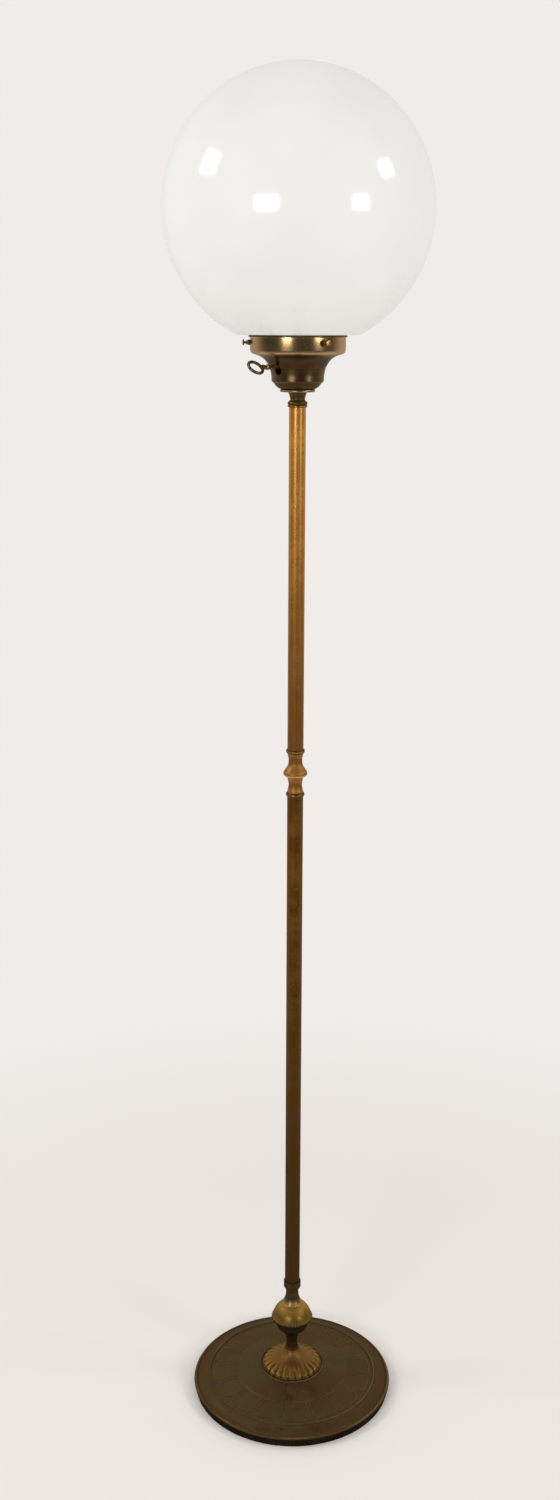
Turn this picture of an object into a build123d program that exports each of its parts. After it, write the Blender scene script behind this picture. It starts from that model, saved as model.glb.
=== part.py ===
"""Floor lamp: opal glass globe on a two-length brass column with a round weighted base.

Millimetres, +Z up. The origin is on the floor at the column's axis; -Y is the front.
"""
from build123d import *
from math import atan2, cos, degrees, radians, sin, sqrt
import os

os.makedirs("parts", exist_ok=True)

# ---------------------------------------------------------------- clearances
thread_gap = 0.05        # radial, screwed or soldered pieces that share a thread
slip_gap = 0.25          # radial, a piece slipped over the lamp pipe or into a tube
turn_gap = 0.08          # radial, a pin that turns or slides in its bore
seat_gap = 0.3           # between the globe and what it rests on or faces
bulb_gap = 0.3           # between the bulb's cap and the screw shell

# ---------------------------------------------------------------- base
foot_line_radius = 129.2     # where the base stands on the floor
lip_radius = 131.6
lip_height = 13.0
lip_round = 2.6
groove_radius = 127.4        # middle of the turned groove inside the lip
groove_width = 2.6
groove_depth = 1.1
ridge_radius = 110.6         # bead round the decorated field
ridge_bead = 1.4
ridge_foot_height = 18.2     # surface of the base beside that bead
band_low_pull = 0.40         # shares of the band's width over which its two curves run
band_high_pull = 0.47
band_swell = 0.3             # how far those curves pass the lip and fall short of the bead
step_radius = 74.5           # inner edge of the decorated field
step_height = 0.8
field_rise = 4.6             # climb of the field from the bead to the step
pan_wall = 1.8
seat_height = 30.0           # flat on top that carries the foot
seat_bead_radius = 42.0
seat_bead = 1.5
pad_thickness = 2.0
weight_gap = 0.5
weight_radius = 122.0
recess_radius = 22.0         # room under the weight for the nut and the wires
recess_roof = 12.0
channel_width = 9.0          # groove in the weight from the rim to the recess
inlet_height = 6.8
bushing_radius = 4.4
bushing_bore_radius = 3.5
bushing_length = 12.0
bushing_flange_radius = 5.6
bushing_flange = 1.6

# ---------------------------------------------------------------- lamp pipe
pipe_radius = 4.8
pipe_bore_radius = 3.2
pipe_below = 7.5             # thread that hangs down into the recess
washer_radius = 16.0
washer_thickness = 2.0
nut_across_flats = 17.0
nut_thickness = 4.0
coupler_radius = 6.3
coupler_length = 26.0

# ---------------------------------------------------------------- gadrooned foot
foot_radius = 38.8
foot_height = 25.0
foot_plate = 2.0
foot_wall = 2.6
foot_top_radius = 9.6
foot_throat_radius = 18.0    # where the hollow throat meets the dome
foot_throat_drop = 12.0      # from the top of the foot down to there
lobe_count = 24
lobe_inset = 0.6             # lobes' outer ends, inside the plate's edge
lobe_swell = 1.6             # depth of the valleys between two lobes
lobe_brow = 2.2              # rise of the steep outer end of a lobe

# ---------------------------------------------------------------- stem, cup and ball
stem_radius = 7.2
stem_ring_radius = 9.1
stem_ring_height = 2.8
stem_ring_edge = 0.9         # the ring's round, in from its widest
stem_length = 11.0           # plain stem, from the foot to where the cup opens
cup_height = 50.0            # whole casting, stem and cup
cup_radius = 24.0            # at the underside of its bead
cup_pull_low = 18.0          # how far the stem's line runs on before it opens
cup_pull_high = 17.0         # how far the cup's line leans in below its bead
cup_lean = 2.5
cup_hollow_radius = 21.0
cup_hollow_depth = 14.0
cup_bead = 2.1
cup_bead_reach = 25.2        # middle of that bead, out from the axis
ball_radius = 26.2
ball_wall = 1.5
ball_centre_drop = 4.8       # ball's centre below the edge of the cup
ball_mouth_radius = 8.0

# ---------------------------------------------------------------- collar and rings
bore_radius = pipe_radius + slip_gap
collar_rim_radius = 12.8
collar_rim = 2.4
collar_height = 25.0
collar_flare = 1.4           # the flare's foot, out from the waist
collar_waist_radius = 8.3
collar_waist_pull = 0.7
collar_top_radius = 9.2
collar_spigot = 3.0
ferrule_radius = 11.2
ferrule_height = 9.5
ferrule_floor = 1.5
check_ring_radius = 11.4     # widest, at half its height
ring_edge_radius = 10.1      # where its round meets the tube's end
check_ring_height = 4.6
top_ring_height = 2.8
spigot_height = 5.0
spigot_wall = 1.2

# ---------------------------------------------------------------- column
tube_radius = 9.75
tube_wall = 0.9
lower_tube_length = 680.5
upper_tube_length = 405.5
break_height = 50.0          # turned piece between the two tubes
break_end_radius = 9.6
break_waist_radius = 8.25
break_bead_radius = 14.6
break_bead_rise = 24.6       # widest place of its bead, above its lower end
break_neck_radius = 9.7      # under that bead
break_neck_rise = 18.8
break_under_inset = 1.4      # round under the bead
break_under_rise = 2.6
break_shoulder_drop = 5.0    # the bead's upper line: where it leaves the bead
break_shoulder_run = 6.5     # and where it nears the stem
break_cove = 0.4
break_stem_rise = 40.4       # slimmest place above the bead
break_bore_radius = 6.6

# ---------------------------------------------------------------- neck and disc
neck_height = 14.3
neck_bulge_radius = 11.4
neck_bulge_edge = 1.0
neck_bulge_height = 3.6
neck_waist_radius = 8.5
neck_top_radius = 11.2
disc_radius = 20.2
disc_thickness = 2.8

# ---------------------------------------------------------------- gallery that holds the globe
spun_wall = 0.9
gallery_height = 60.0
gallery_floor_radius = 19.0
gallery_step_bulge = 20.8
gallery_step_bulge_rise = 3.4
gallery_step_radius = 25.6
gallery_step_rise = 8.0
cup_low_radius = 28.8        # spun cup just above its step
cup_low_rise = 9.4
cup_high_radius = 31.6       # the same cup where the bell begins to flare
cup_high_rise = 22.4
bell_bulge_radius = 38.0
bell_bulge_rise = 33.2
bell_top_radius = 51.0
bell_top_rise = 39.2
bell_lip_radius = 53.6       # small round between the bell and its band
bell_lip_rise = 41.3
band_radius = 54.5
band_low_rise = 43.8
rim_radius = 56.4
rim_thickness = 2.2

# ---------------------------------------------------------------- thumbscrews
screw_angles = {"thumbscrew_left": -177.0, "thumbscrew_right": -57.0, "thumbscrew_back": 63.0}
screw_rise = 52.0            # above the gallery's floor
screw_radius = 1.5
screw_head_radius = 3.4
screw_head = 1.8
screw_shoulder_radius = 2.6
screw_shoulder = 1.0
screw_waist = 2.6
boss_radius = 3.0
boss_length = 2.7
boss_sleeve_radius = 2.3

# ---------------------------------------------------------------- globe
globe_radius = 152.4
glass_wall = 2.2
globe_neck_radius = 50.8
globe_neck_length = 17.0
shoulder_drop = 135.4        # flattened shoulder, below the globe's centre
shoulder_round = 9.0
neck_round = 1.2             # corner between the neck and the shoulder

# ---------------------------------------------------------------- lampholder
cap_radius = 17.0
cap_wall = 0.7
cap_height = 17.0            # hub included
cap_hub_radius = 7.0
cap_hub_height = 6.0
cap_shoulder_rise = 7.5      # where the cap's floor is, above the gallery's floor
cap_shoulder_round = 3.5
shell_radius = 16.1
shell_wall = 0.5
shell_height = 54.0
shell_lip = 0.8
liner_wall = 0.7
body_radius = 12.5
body_foot_radius = 14.2
body_foot = 3.0
body_height = 27.0
chamber_radius = 9.0         # switch chamber under the contact
chamber_room = 3.0           # above the cam
screw_shell_radius = 13.6
screw_shell_wall = 0.4
screw_shell_height = 22.0
screw_shell_hole = 7.0
contact_width = 6.0
contact_length = 10.0
contact_thickness = 0.6
contact_lift = 2.4
terminal_radius = 1.0
terminal_head_radius = 2.4
terminal_head = 1.3
terminal_length = 3.0
terminal_rise = 7.0

# ---------------------------------------------------------------- turn key
key_angle = -136.0           # the key points forward and to the left
key_rise = 25.4              # above the gallery's floor
key_slot_width = 9.0
key_slot_height = 13.4
key_slot_drop = 2.6          # middle of the slot below the key's axis
spindle_radius = 1.6
spindle_tail = 6.0           # past the column's axis, away from the key
spindle_outer = 24.0
cam_radius = 4.0
cam_length = 7.0
key_stem_radius = 2.3
key_stem_start = 20.5
key_socket_depth = 4.0
key_collar_radius = 3.3
key_collar = 2.4
key_ring_reach = 63.8        # centre of the ring, out from the column's axis
key_ring_radius = 9.9
key_wire_radius = 1.35
key_tilt = 43.8              # the ring's plane, turned from upright about the stem

# ---------------------------------------------------------------- bulb
bulb_radius = 30.0
bulb_height = 108.0          # from the contact to the top of the glass
bulb_glass_wall = 1.0
bulb_neck_radius = 12.2
bulb_neck_height = 27.0
bulb_cap_height = 24.5
bulb_cap_wall = 0.4
bulb_insulator_height = 3.0
bulb_insulator_radius = 9.0
bulb_cap_lip = 10.6          # radius where the cap turns in to the insulator
bulb_contact_radius = 4.6
bulb_contact_height = 1.2

# ---------------------------------------------------------------- levels, from the floor up
z_foot_top = seat_height + foot_height
z_cup_top = z_foot_top + cup_height
z_ball_centre = z_cup_top - ball_centre_drop
z_collar = z_ball_centre + sqrt((ball_radius + thread_gap) ** 2 - collar_rim_radius**2)
z_collar_top = z_collar + collar_height
z_lower_tube = z_collar_top + ferrule_floor
z_lower_ring = z_lower_tube + lower_tube_length
z_break = z_lower_ring + check_ring_height
z_upper_ring = z_break + break_height
z_upper_tube = z_upper_ring + check_ring_height
z_top_ring = z_upper_tube + upper_tube_length
z_neck = z_top_ring + top_ring_height
z_disc = z_neck + neck_height
z_gallery = z_disc + disc_thickness
z_rim = z_gallery + gallery_height
z_globe = z_rim + seat_gap + shoulder_drop
z_screw = z_gallery + screw_rise
z_key = z_gallery + key_rise
z_hub = z_gallery + spun_wall
z_cap_floor = z_hub + cap_shoulder_rise
z_body = z_cap_floor + cap_wall
z_screw_shell = z_body + body_height
z_bulb = z_screw_shell + contact_lift + 2 * contact_thickness
z_pipe_low = recess_roof - pipe_below
z_joint = z_break + break_height / 2
z_pipe_top = z_hub + cap_hub_height
z_field_outer = ridge_foot_height
z_field_inner = ridge_foot_height + field_rise


def radial_plane(angle, height, reach=0):
    """Plane that faces outward from the column at a compass angle."""
    outward = Vector(cos(radians(angle)), sin(radians(angle)), 0)
    sideways = Vector(-sin(radians(angle)), cos(radians(angle)), 0)
    return Plane(origin=outward * reach + Vector(0, 0, height), x_dir=sideways, z_dir=outward)


def save(piece, name):
    """Label a finished piece and write it as its own STEP file."""
    piece.part.label = name
    export_step(piece.part, f"parts/{name}.step")


# ---------------------------------------------------------------- base pan
# A shallow brass pan: rounded lip, turned groove, cyma band, bead, decorated field and seat.
with BuildPart() as base_pan:
    with BuildSketch(Plane.XZ) as pan_section:
        with BuildLine() as pan_line:
            side = ThreePointArc(
                (foot_line_radius, 0),
                (lip_radius - 0.4 * (lip_radius - foot_line_radius), (lip_height - lip_round) / 2),
                (lip_radius, lip_height - lip_round),
            )
            lip = CenterArc((lip_radius - lip_round, lip_height - lip_round), lip_round, 0, 90)
            land = Line((lip_radius - lip_round, lip_height), (groove_radius + groove_width / 2, lip_height))
            groove = ThreePointArc(
                land @ 1,
                (groove_radius, lip_height - groove_depth),
                (groove_radius - groove_width / 2, lip_height),
            )
            band_width = groove_radius - groove_width / 2 - ridge_radius - ridge_bead
            band = Bezier(
                groove @ 1,
                (groove_radius - groove_width / 2 - band_low_pull * band_width, lip_height + band_swell),
                (ridge_radius + ridge_bead + band_high_pull * band_width, ridge_foot_height - band_swell),
                (ridge_radius + ridge_bead, ridge_foot_height),
            )
            bead = ThreePointArc(
                band @ 1,
                (ridge_radius, ridge_foot_height + ridge_bead),
                (ridge_radius - ridge_bead, ridge_foot_height),
            )
            field = Line(bead @ 1, (step_radius, z_field_inner))
            step = Line(field @ 1, (step_radius - step_height, z_field_inner + step_height))
            slope = Line(step @ 1, (seat_bead_radius + seat_bead, seat_height))
            seat_ring = ThreePointArc(
                slope @ 1,
                (seat_bead_radius, seat_height + seat_bead),
                (seat_bead_radius - seat_bead, seat_height),
            )
            Polyline(
                seat_ring @ 1,
                (bore_radius, seat_height),
                (bore_radius, seat_height - pan_wall),
                (seat_bead_radius, seat_height - pan_wall),
                (step_radius, z_field_inner - pan_wall),
                (ridge_radius, z_field_outer - pan_wall),
                (groove_radius, lip_height - groove_depth - pan_wall),
                (lip_radius - pan_wall - lip_round, lip_height - lip_round - pan_wall),
                (foot_line_radius - pan_wall, 0),
                (foot_line_radius, 0),
            )
        make_face()
    revolve(axis=Axis.Z)
    with BuildSketch(Plane.XZ.offset(-lip_radius)) as inlet_hole:
        with Locations((0, inlet_height)):
            Circle(bushing_radius + slip_gap)
    extrude(amount=bushing_length, both=True, mode=Mode.SUBTRACT)
save(base_pan, "base_pan")

# Cast-iron weight that fills the pan, with a recess for the nut and a groove for the wires.
with BuildPart() as base_weight:
    with BuildSketch(Plane.XZ) as weight_section:
        with BuildLine() as weight_line:
            Polyline(
                (bore_radius, recess_roof),
                (recess_radius, recess_roof),
                (recess_radius, pad_thickness),
                (weight_radius, pad_thickness),
                (weight_radius, lip_height - groove_depth - pan_wall - weight_gap),
                (ridge_radius, z_field_outer - pan_wall - weight_gap),
                (step_radius, z_field_inner - pan_wall - weight_gap),
                (seat_bead_radius, seat_height - pan_wall - weight_gap),
                (seat_bead_radius - weight_gap, seat_height - pan_wall),
                (bore_radius, seat_height - pan_wall),
                close=True,
            )
        make_face()
    revolve(axis=Axis.Z)
    with BuildSketch(Plane.XY.offset(pad_thickness)) as channel:
        with Locations((0, weight_radius / 2)):
            Rectangle(channel_width, weight_radius)
    extrude(amount=inlet_height + bushing_radius + slip_gap - pad_thickness, mode=Mode.SUBTRACT)
save(base_weight, "base_weight")

# Felt disc glued under the weight; the lamp stands on it and on the edge of the pan.
with BuildPart() as felt_pad:
    with BuildSketch() as pad_outline:
        Circle(foot_line_radius - pan_wall - pad_thickness)
    extrude(amount=pad_thickness)
save(felt_pad, "felt_pad")

with BuildPart() as base_washer:
    with BuildSketch(Plane.XY.offset(recess_roof)) as washer_outline:
        Circle(washer_radius)
        Circle(bore_radius, mode=Mode.SUBTRACT)
    extrude(amount=-washer_thickness)
save(base_washer, "base_washer")

with BuildPart() as base_nut:
    with BuildSketch(Plane.XY.offset(recess_roof - washer_thickness)) as nut_outline:
        RegularPolygon(nut_across_flats / 2, 6, major_radius=False)
        Circle(pipe_radius + thread_gap, mode=Mode.SUBTRACT)
    extrude(amount=-nut_thickness)
    chamfer(base_nut.edges().group_by(Axis.Z)[0].filter_by(GeomType.LINE), nut_thickness / 8)
save(base_nut, "base_nut")

# Flanged bushing that lines the wire hole at the back of the pan.
with BuildPart() as inlet_bushing:
    with BuildSketch(Plane.XZ.offset(-lip_radius - seat_gap)) as bushing_flange_face:
        with Locations((0, inlet_height)):
            Circle(bushing_flange_radius)
            Circle(bushing_bore_radius, mode=Mode.SUBTRACT)
    extrude(amount=-bushing_flange)
    with BuildSketch(Plane.XZ.offset(-lip_radius - seat_gap)) as bushing_sleeve:
        with Locations((0, inlet_height)):
            Circle(bushing_radius)
            Circle(bushing_bore_radius, mode=Mode.SUBTRACT)
    extrude(amount=bushing_length - bushing_flange)
    fillet(inlet_bushing.edges().group_by(Axis.Y)[-1].sort_by(SortBy.LENGTH)[-1], bushing_flange / 3)
save(inlet_bushing, "inlet_bushing")

# ---------------------------------------------------------------- lamp pipe in two lengths
pipe_ends = {"lower_pipe": (z_pipe_low, z_joint), "upper_pipe": (z_joint, z_pipe_top)}
for name, (low, high) in pipe_ends.items():
    with BuildPart() as pipe:
        with BuildSketch(Plane.XY.offset(low)) as pipe_section:
            Circle(pipe_radius)
            Circle(pipe_bore_radius, mode=Mode.SUBTRACT)
        extrude(amount=high - low)
    save(pipe, name)

with BuildPart() as pipe_coupler:
    with BuildSketch(Plane.XY.offset(z_joint - coupler_length / 2)) as coupler_section:
        Circle(coupler_radius)
        Circle(pipe_radius + thread_gap, mode=Mode.SUBTRACT)
    extrude(amount=coupler_length)
save(pipe_coupler, "pipe_coupler")

# ---------------------------------------------------------------- gadrooned foot
def scalloped(reach, swell, height):
    """Horizontal outline of the lobes at one level, with their crests at `reach`."""
    half = 180 / lobe_count
    valley = reach - swell
    with BuildSketch(Plane.XY.offset(height)) as outline:
        with BuildLine():
            for lobe in range(lobe_count):
                middle = 2 * half * lobe
                ThreePointArc(
                    (valley * cos(radians(middle - half)), valley * sin(radians(middle - half))),
                    (reach * cos(radians(middle)), reach * sin(radians(middle))),
                    (valley * cos(radians(middle + half)), valley * sin(radians(middle + half))),
                )
        make_face()
    return outline.sketch


# Cast dome with a hollow throat; its lobes swell toward the plate and die out at the throat.
z_plate = seat_height + foot_plate
z_throat = z_foot_top - foot_throat_drop
lobe_reach = foot_radius - lobe_inset
dome_run = lobe_reach - foot_throat_radius
dome_climb = z_throat - z_plate - lobe_brow
lobe_levels = [
    scalloped(lobe_reach, lobe_swell, z_plate),
    scalloped(lobe_reach - 0.04 * dome_run, lobe_swell, z_plate + lobe_brow),
    scalloped(lobe_reach - 0.26 * dome_run, 0.9 * lobe_swell, z_plate + lobe_brow + 0.36 * dome_climb),
    scalloped(lobe_reach - 0.60 * dome_run, 0.6 * lobe_swell, z_plate + lobe_brow + 0.70 * dome_climb),
    scalloped(foot_throat_radius, 0.1 * lobe_swell, z_throat),
]
with BuildPart() as gadroon_foot:
    loft(lobe_levels)
    with BuildSketch(Plane.XY.offset(seat_height)) as foot_plate_outline:
        Circle(foot_radius)
    extrude(amount=foot_plate)
    with BuildSketch(Plane.XZ) as throat_section:
        with BuildLine() as throat_line:
            throat = ThreePointArc(
                (foot_throat_radius, z_throat),
                (0.36 * foot_throat_radius + 0.64 * foot_top_radius, z_foot_top - 0.66 * foot_throat_drop),
                (foot_top_radius, z_foot_top),
            )
            Polyline(throat @ 1, (0, z_foot_top), (0, z_plate), (foot_throat_radius, z_plate), throat @ 0)
        make_face()
    revolve(axis=Axis.Z)
    with BuildSketch(Plane.XZ) as foot_hollow:
        with BuildLine() as foot_hollow_line:
            Polyline(
                (0, seat_height),
                (lobe_reach - lobe_swell - foot_wall, seat_height),
                (lobe_reach - 0.26 * dome_run - foot_wall, z_plate + 0.36 * dome_climb),
                (foot_throat_radius - 0.5 * foot_wall, z_throat - foot_wall),
                (foot_top_radius - foot_wall, z_throat),
                (foot_top_radius - foot_wall, z_foot_top - foot_wall),
                (0, z_foot_top - foot_wall),
                close=True,
            )
        make_face()
    revolve(axis=Axis.Z, mode=Mode.SUBTRACT)
    with Locations((0, 0, z_foot_top)):
        Hole(bore_radius)
save(gadroon_foot, "gadroon_foot")

# ---------------------------------------------------------------- stem with cup, and ball
# One casting: a ring, a slim stem and a cup that ends in a round bead.
z_cup_bead = z_cup_top - cup_bead
z_cup_low = z_cup_top - 2 * cup_bead - stem_ring_height / 2
with BuildPart() as stem_cup:
    with BuildSketch(Plane.XZ) as cup_section:
        with BuildLine() as cup_line:
            foot_line = Line((bore_radius, z_foot_top), (stem_ring_radius - stem_ring_edge, z_foot_top))
            stem_ring = ThreePointArc(
                foot_line @ 1,
                (stem_ring_radius, z_foot_top + stem_ring_height / 2),
                (stem_ring_radius - stem_ring_edge, z_foot_top + stem_ring_height),
            )
            stem_line = Polyline(
                stem_ring @ 1,
                (stem_radius, z_foot_top + stem_ring_height),
                (stem_radius, z_foot_top + stem_length),
            )
            bowl = Bezier(
                stem_line @ 1,
                (stem_radius, z_foot_top + stem_length + cup_pull_low),
                (cup_radius - cup_lean, z_cup_low - cup_pull_high),
                (cup_radius, z_cup_low),
            )
            shelf = Line(bowl @ 1, (cup_bead_reach, z_cup_bead - cup_bead))
            bead_line = ThreePointArc(
                shelf @ 1, (cup_bead_reach + cup_bead, z_cup_bead), (cup_bead_reach, z_cup_top)
            )
            Polyline(
                bead_line @ 1,
                (cup_hollow_radius, z_cup_top),
                (bore_radius, z_cup_top - cup_hollow_depth),
                foot_line @ 0,
            )
        make_face()
    revolve(axis=Axis.Z)
save(stem_cup, "stem_cup")

# Spun upper half of the ball, open at the top for the pipe.
with BuildPart() as ball_top:
    with BuildSketch(Plane.XZ) as ball_section:
        with Locations((0, z_ball_centre)):
            Circle(ball_radius)
            Circle(ball_radius - ball_wall, mode=Mode.SUBTRACT)
        with Locations((ball_mouth_radius + ball_radius / 2, z_cup_top + ball_radius / 2)):
            Rectangle(ball_radius, ball_radius, mode=Mode.INTERSECT)
    revolve(axis=Axis.Z)
save(ball_top, "ball_top")

# ---------------------------------------------------------------- collar, ferrule and rings
# The collar sits on the ball, with a spigot down its mouth and a long concave flare upward.
collar_seat_radius = ball_radius + thread_gap
spigot_reach = ball_mouth_radius - slip_gap
z_collar_inner = z_ball_centre + sqrt(collar_seat_radius**2 - spigot_reach**2)
collar_seat_middle = (collar_rim_radius + spigot_reach) / 2
with BuildPart() as flared_collar:
    with BuildSketch(Plane.XZ) as collar_section:
        with BuildLine() as collar_line:
            seat_line = ThreePointArc(
                (spigot_reach, z_collar_inner),
                (collar_seat_middle, z_ball_centre + sqrt(collar_seat_radius**2 - collar_seat_middle**2)),
                (collar_rim_radius, z_collar),
            )
            rim_side = ThreePointArc(
                seat_line @ 1,
                (collar_rim_radius + collar_rim / 8, z_collar + collar_rim / 2),
                (collar_rim_radius - collar_rim / 4, z_collar + collar_rim),
            )
            flare = Bezier(
                rim_side @ 1,
                (collar_waist_radius + collar_flare, z_collar + 2 * collar_rim),
                (collar_waist_radius - collar_waist_pull, z_collar + 0.7 * collar_height),
                (collar_top_radius, z_collar_top),
            )
            Polyline(
                flare @ 1,
                (bore_radius, z_collar_top),
                (bore_radius, z_collar_inner - collar_spigot),
                (spigot_reach, z_collar_inner - collar_spigot),
                seat_line @ 0,
            )
        make_face()
    revolve(axis=Axis.Z)
save(flared_collar, "flared_collar")

# Cup that holds the foot of the lower tube.
with BuildPart() as lower_ferrule:
    with BuildSketch(Plane.XY.offset(z_collar_top)) as ferrule_outline:
        Circle(ferrule_radius)
        Circle(bore_radius, mode=Mode.SUBTRACT)
    extrude(amount=ferrule_height)
    with BuildSketch(Plane.XY.offset(z_lower_tube)) as ferrule_socket:
        Circle(tube_radius + thread_gap)
    extrude(amount=ferrule_height, mode=Mode.SUBTRACT)
    outer_edges = lower_ferrule.edges().filter_by(GeomType.CIRCLE).sort_by(SortBy.RADIUS)[-2:]
    fillet(outer_edges, (ferrule_radius - tube_radius) / 2)
save(lower_ferrule, "lower_ferrule")

# Three rounded rings that close the tubes' ends, each with a spigot inside its tube.
tube_ends = {
    "lower_check_ring": (z_lower_ring, check_ring_height, -1),
    "upper_check_ring": (z_upper_tube, -check_ring_height, 1),
    "top_ring": (z_top_ring, top_ring_height, -1),
}
spigot_radius = tube_radius - tube_wall - slip_gap
for name, (tube_end, ring_height, toward_tube) in tube_ends.items():
    with BuildPart() as ring:
        with BuildSketch(Plane.XZ) as ring_section:
            with BuildLine() as ring_line:
                bulge = ThreePointArc(
                    (ring_edge_radius, tube_end),
                    (check_ring_radius, tube_end + ring_height / 2),
                    (ring_edge_radius, tube_end + ring_height),
                )
                Polyline(
                    bulge @ 1,
                    (spigot_radius - spigot_wall, tube_end + ring_height),
                    (spigot_radius - spigot_wall, tube_end + toward_tube * spigot_height),
                    (spigot_radius, tube_end + toward_tube * spigot_height),
                    (spigot_radius, tube_end),
                    bulge @ 0,
                )
            make_face()
        revolve(axis=Axis.Z)
    save(ring, name)

# ---------------------------------------------------------------- column
tube_spans = {
    "lower_tube": (z_lower_tube, lower_tube_length),
    "upper_tube": (z_upper_tube, upper_tube_length),
}
for name, (low, length) in tube_spans.items():
    with BuildPart() as tube:
        with BuildSketch(Plane.XY.offset(low)) as tube_section:
            Circle(tube_radius)
            Circle(tube_radius - tube_wall, mode=Mode.SUBTRACT)
        extrude(amount=length)
    save(tube, name)

# Turned piece between the tubes: a waisted neck, a full bead and a long tapering shoulder.
z_break_bead = z_break + break_bead_rise
z_break_neck = z_break + break_neck_rise
with BuildPart() as column_break:
    with BuildSketch(Plane.XZ) as break_section:
        with BuildLine() as break_line:
            waist = ThreePointArc(
                (break_end_radius, z_break),
                (break_waist_radius, z_break + break_neck_rise / 2),
                (break_neck_radius, z_break_neck),
            )
            under = ThreePointArc(
                waist @ 1,
                (break_bead_radius - break_under_inset, z_break_neck + break_under_rise),
                (break_bead_radius, z_break_bead),
            )
            shoulder = Bezier(
                under @ 1,
                (break_bead_radius, z_break_bead + break_shoulder_drop),
                (break_waist_radius, z_break_bead + break_shoulder_run),
                (break_waist_radius, z_break + break_stem_rise),
            )
            cove = ThreePointArc(
                shoulder @ 1,
                (break_waist_radius + break_cove, (z_break + break_stem_rise + z_upper_ring) / 2),
                (break_end_radius, z_upper_ring),
            )
            Polyline(
                cove @ 1,
                (break_bore_radius, z_upper_ring),
                (break_bore_radius, z_break),
                waist @ 0,
            )
        make_face()
    revolve(axis=Axis.Z)
save(column_break, "column_break")

# ---------------------------------------------------------------- neck and disc
with BuildPart() as turned_neck:
    with BuildSketch(Plane.XZ) as neck_section:
        with BuildLine() as neck_line:
            bulge = ThreePointArc(
                (neck_bulge_radius - neck_bulge_edge, z_neck),
                (neck_bulge_radius, z_neck + neck_bulge_height / 2),
                (neck_bulge_radius - neck_bulge_edge, z_neck + neck_bulge_height),
            )
            hollow = ThreePointArc(
                bulge @ 1,
                (neck_waist_radius, z_neck + neck_height / 2),
                (neck_top_radius, z_disc),
            )
            Polyline(
                hollow @ 1,
                (bore_radius, z_disc),
                (bore_radius, z_neck),
                bulge @ 0,
            )
        make_face()
    revolve(axis=Axis.Z)
save(turned_neck, "turned_neck")

with BuildPart() as seat_disc:
    with BuildSketch(Plane.XY.offset(z_disc)) as disc_outline:
        Circle(disc_radius)
        Circle(bore_radius, mode=Mode.SUBTRACT)
    extrude(amount=disc_thickness)
    disc_edges = seat_disc.edges().filter_by(GeomType.CIRCLE).sort_by(SortBy.RADIUS)[-2:]
    fillet(disc_edges, 0.4 * disc_thickness)
save(seat_disc, "seat_disc")

# ---------------------------------------------------------------- gallery
# One spun piece: floor, round step, tapering cup, bell, upright band and a rolled rim.
with BuildPart() as gallery:
    with BuildSketch(Plane.XZ) as gallery_section:
        with BuildLine() as gallery_line:
            floor_line = Line((bore_radius, z_gallery), (gallery_floor_radius, z_gallery))
            round_step = ThreePointArc(
                floor_line @ 1,
                (gallery_step_bulge, z_gallery + gallery_step_bulge_rise),
                (gallery_step_radius, z_gallery + gallery_step_rise),
            )
            cup_side = Polyline(
                round_step @ 1,
                (cup_low_radius, z_gallery + cup_low_rise),
                (cup_high_radius, z_gallery + cup_high_rise),
            )
            bell = ThreePointArc(
                cup_side @ 1,
                (bell_bulge_radius, z_gallery + bell_bulge_rise),
                (bell_top_radius, z_gallery + bell_top_rise),
            )
            bell_lip = ThreePointArc(
                bell @ 1,
                (bell_lip_radius, z_gallery + bell_lip_rise),
                (band_radius, z_gallery + band_low_rise),
            )
            Line(bell_lip @ 1, (band_radius, z_rim - rim_thickness / 2))
            offset(amount=spun_wall, side=Side.LEFT)
        make_face()
        with Locations(((rim_radius + band_radius - spun_wall) / 2, z_rim - rim_thickness / 2)):
            RectangleRounded(rim_radius - band_radius + spun_wall, rim_thickness, rim_thickness / 3)
    revolve(axis=Axis.Z)
    for angle in screw_angles.values():
        with BuildSketch(radial_plane(angle, z_screw, band_radius - 2 * spun_wall)) as screw_hole:
            Circle(boss_sleeve_radius + thread_gap)
        extrude(amount=3 * spun_wall, mode=Mode.SUBTRACT)
    with BuildSketch(radial_plane(key_angle, z_key - key_slot_drop, key_stem_start)) as key_slot:
        SlotOverall(key_slot_height, key_slot_width, rotation=90)
    extrude(amount=band_radius - key_stem_start, mode=Mode.SUBTRACT)
save(gallery, "gallery")

# ---------------------------------------------------------------- bosses and thumbscrews
# Brass bosses riveted into the band; their sleeves pass through its wall.
with BuildPart() as screw_bosses:
    for angle in screw_angles.values():
        with BuildSketch(radial_plane(angle, z_screw, band_radius)) as boss_face:
            Circle(boss_radius)
        extrude(amount=boss_length)
        with BuildSketch(radial_plane(angle, z_screw, band_radius - spun_wall)) as sleeve_face:
            Circle(boss_sleeve_radius)
        extrude(amount=spun_wall)
        with BuildSketch(radial_plane(angle, z_screw, band_radius - 2 * spun_wall)) as thread_hole:
            Circle(screw_radius + turn_gap)
        extrude(amount=2 * spun_wall + boss_length, mode=Mode.SUBTRACT)
save(screw_bosses, "screw_bosses")

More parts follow.
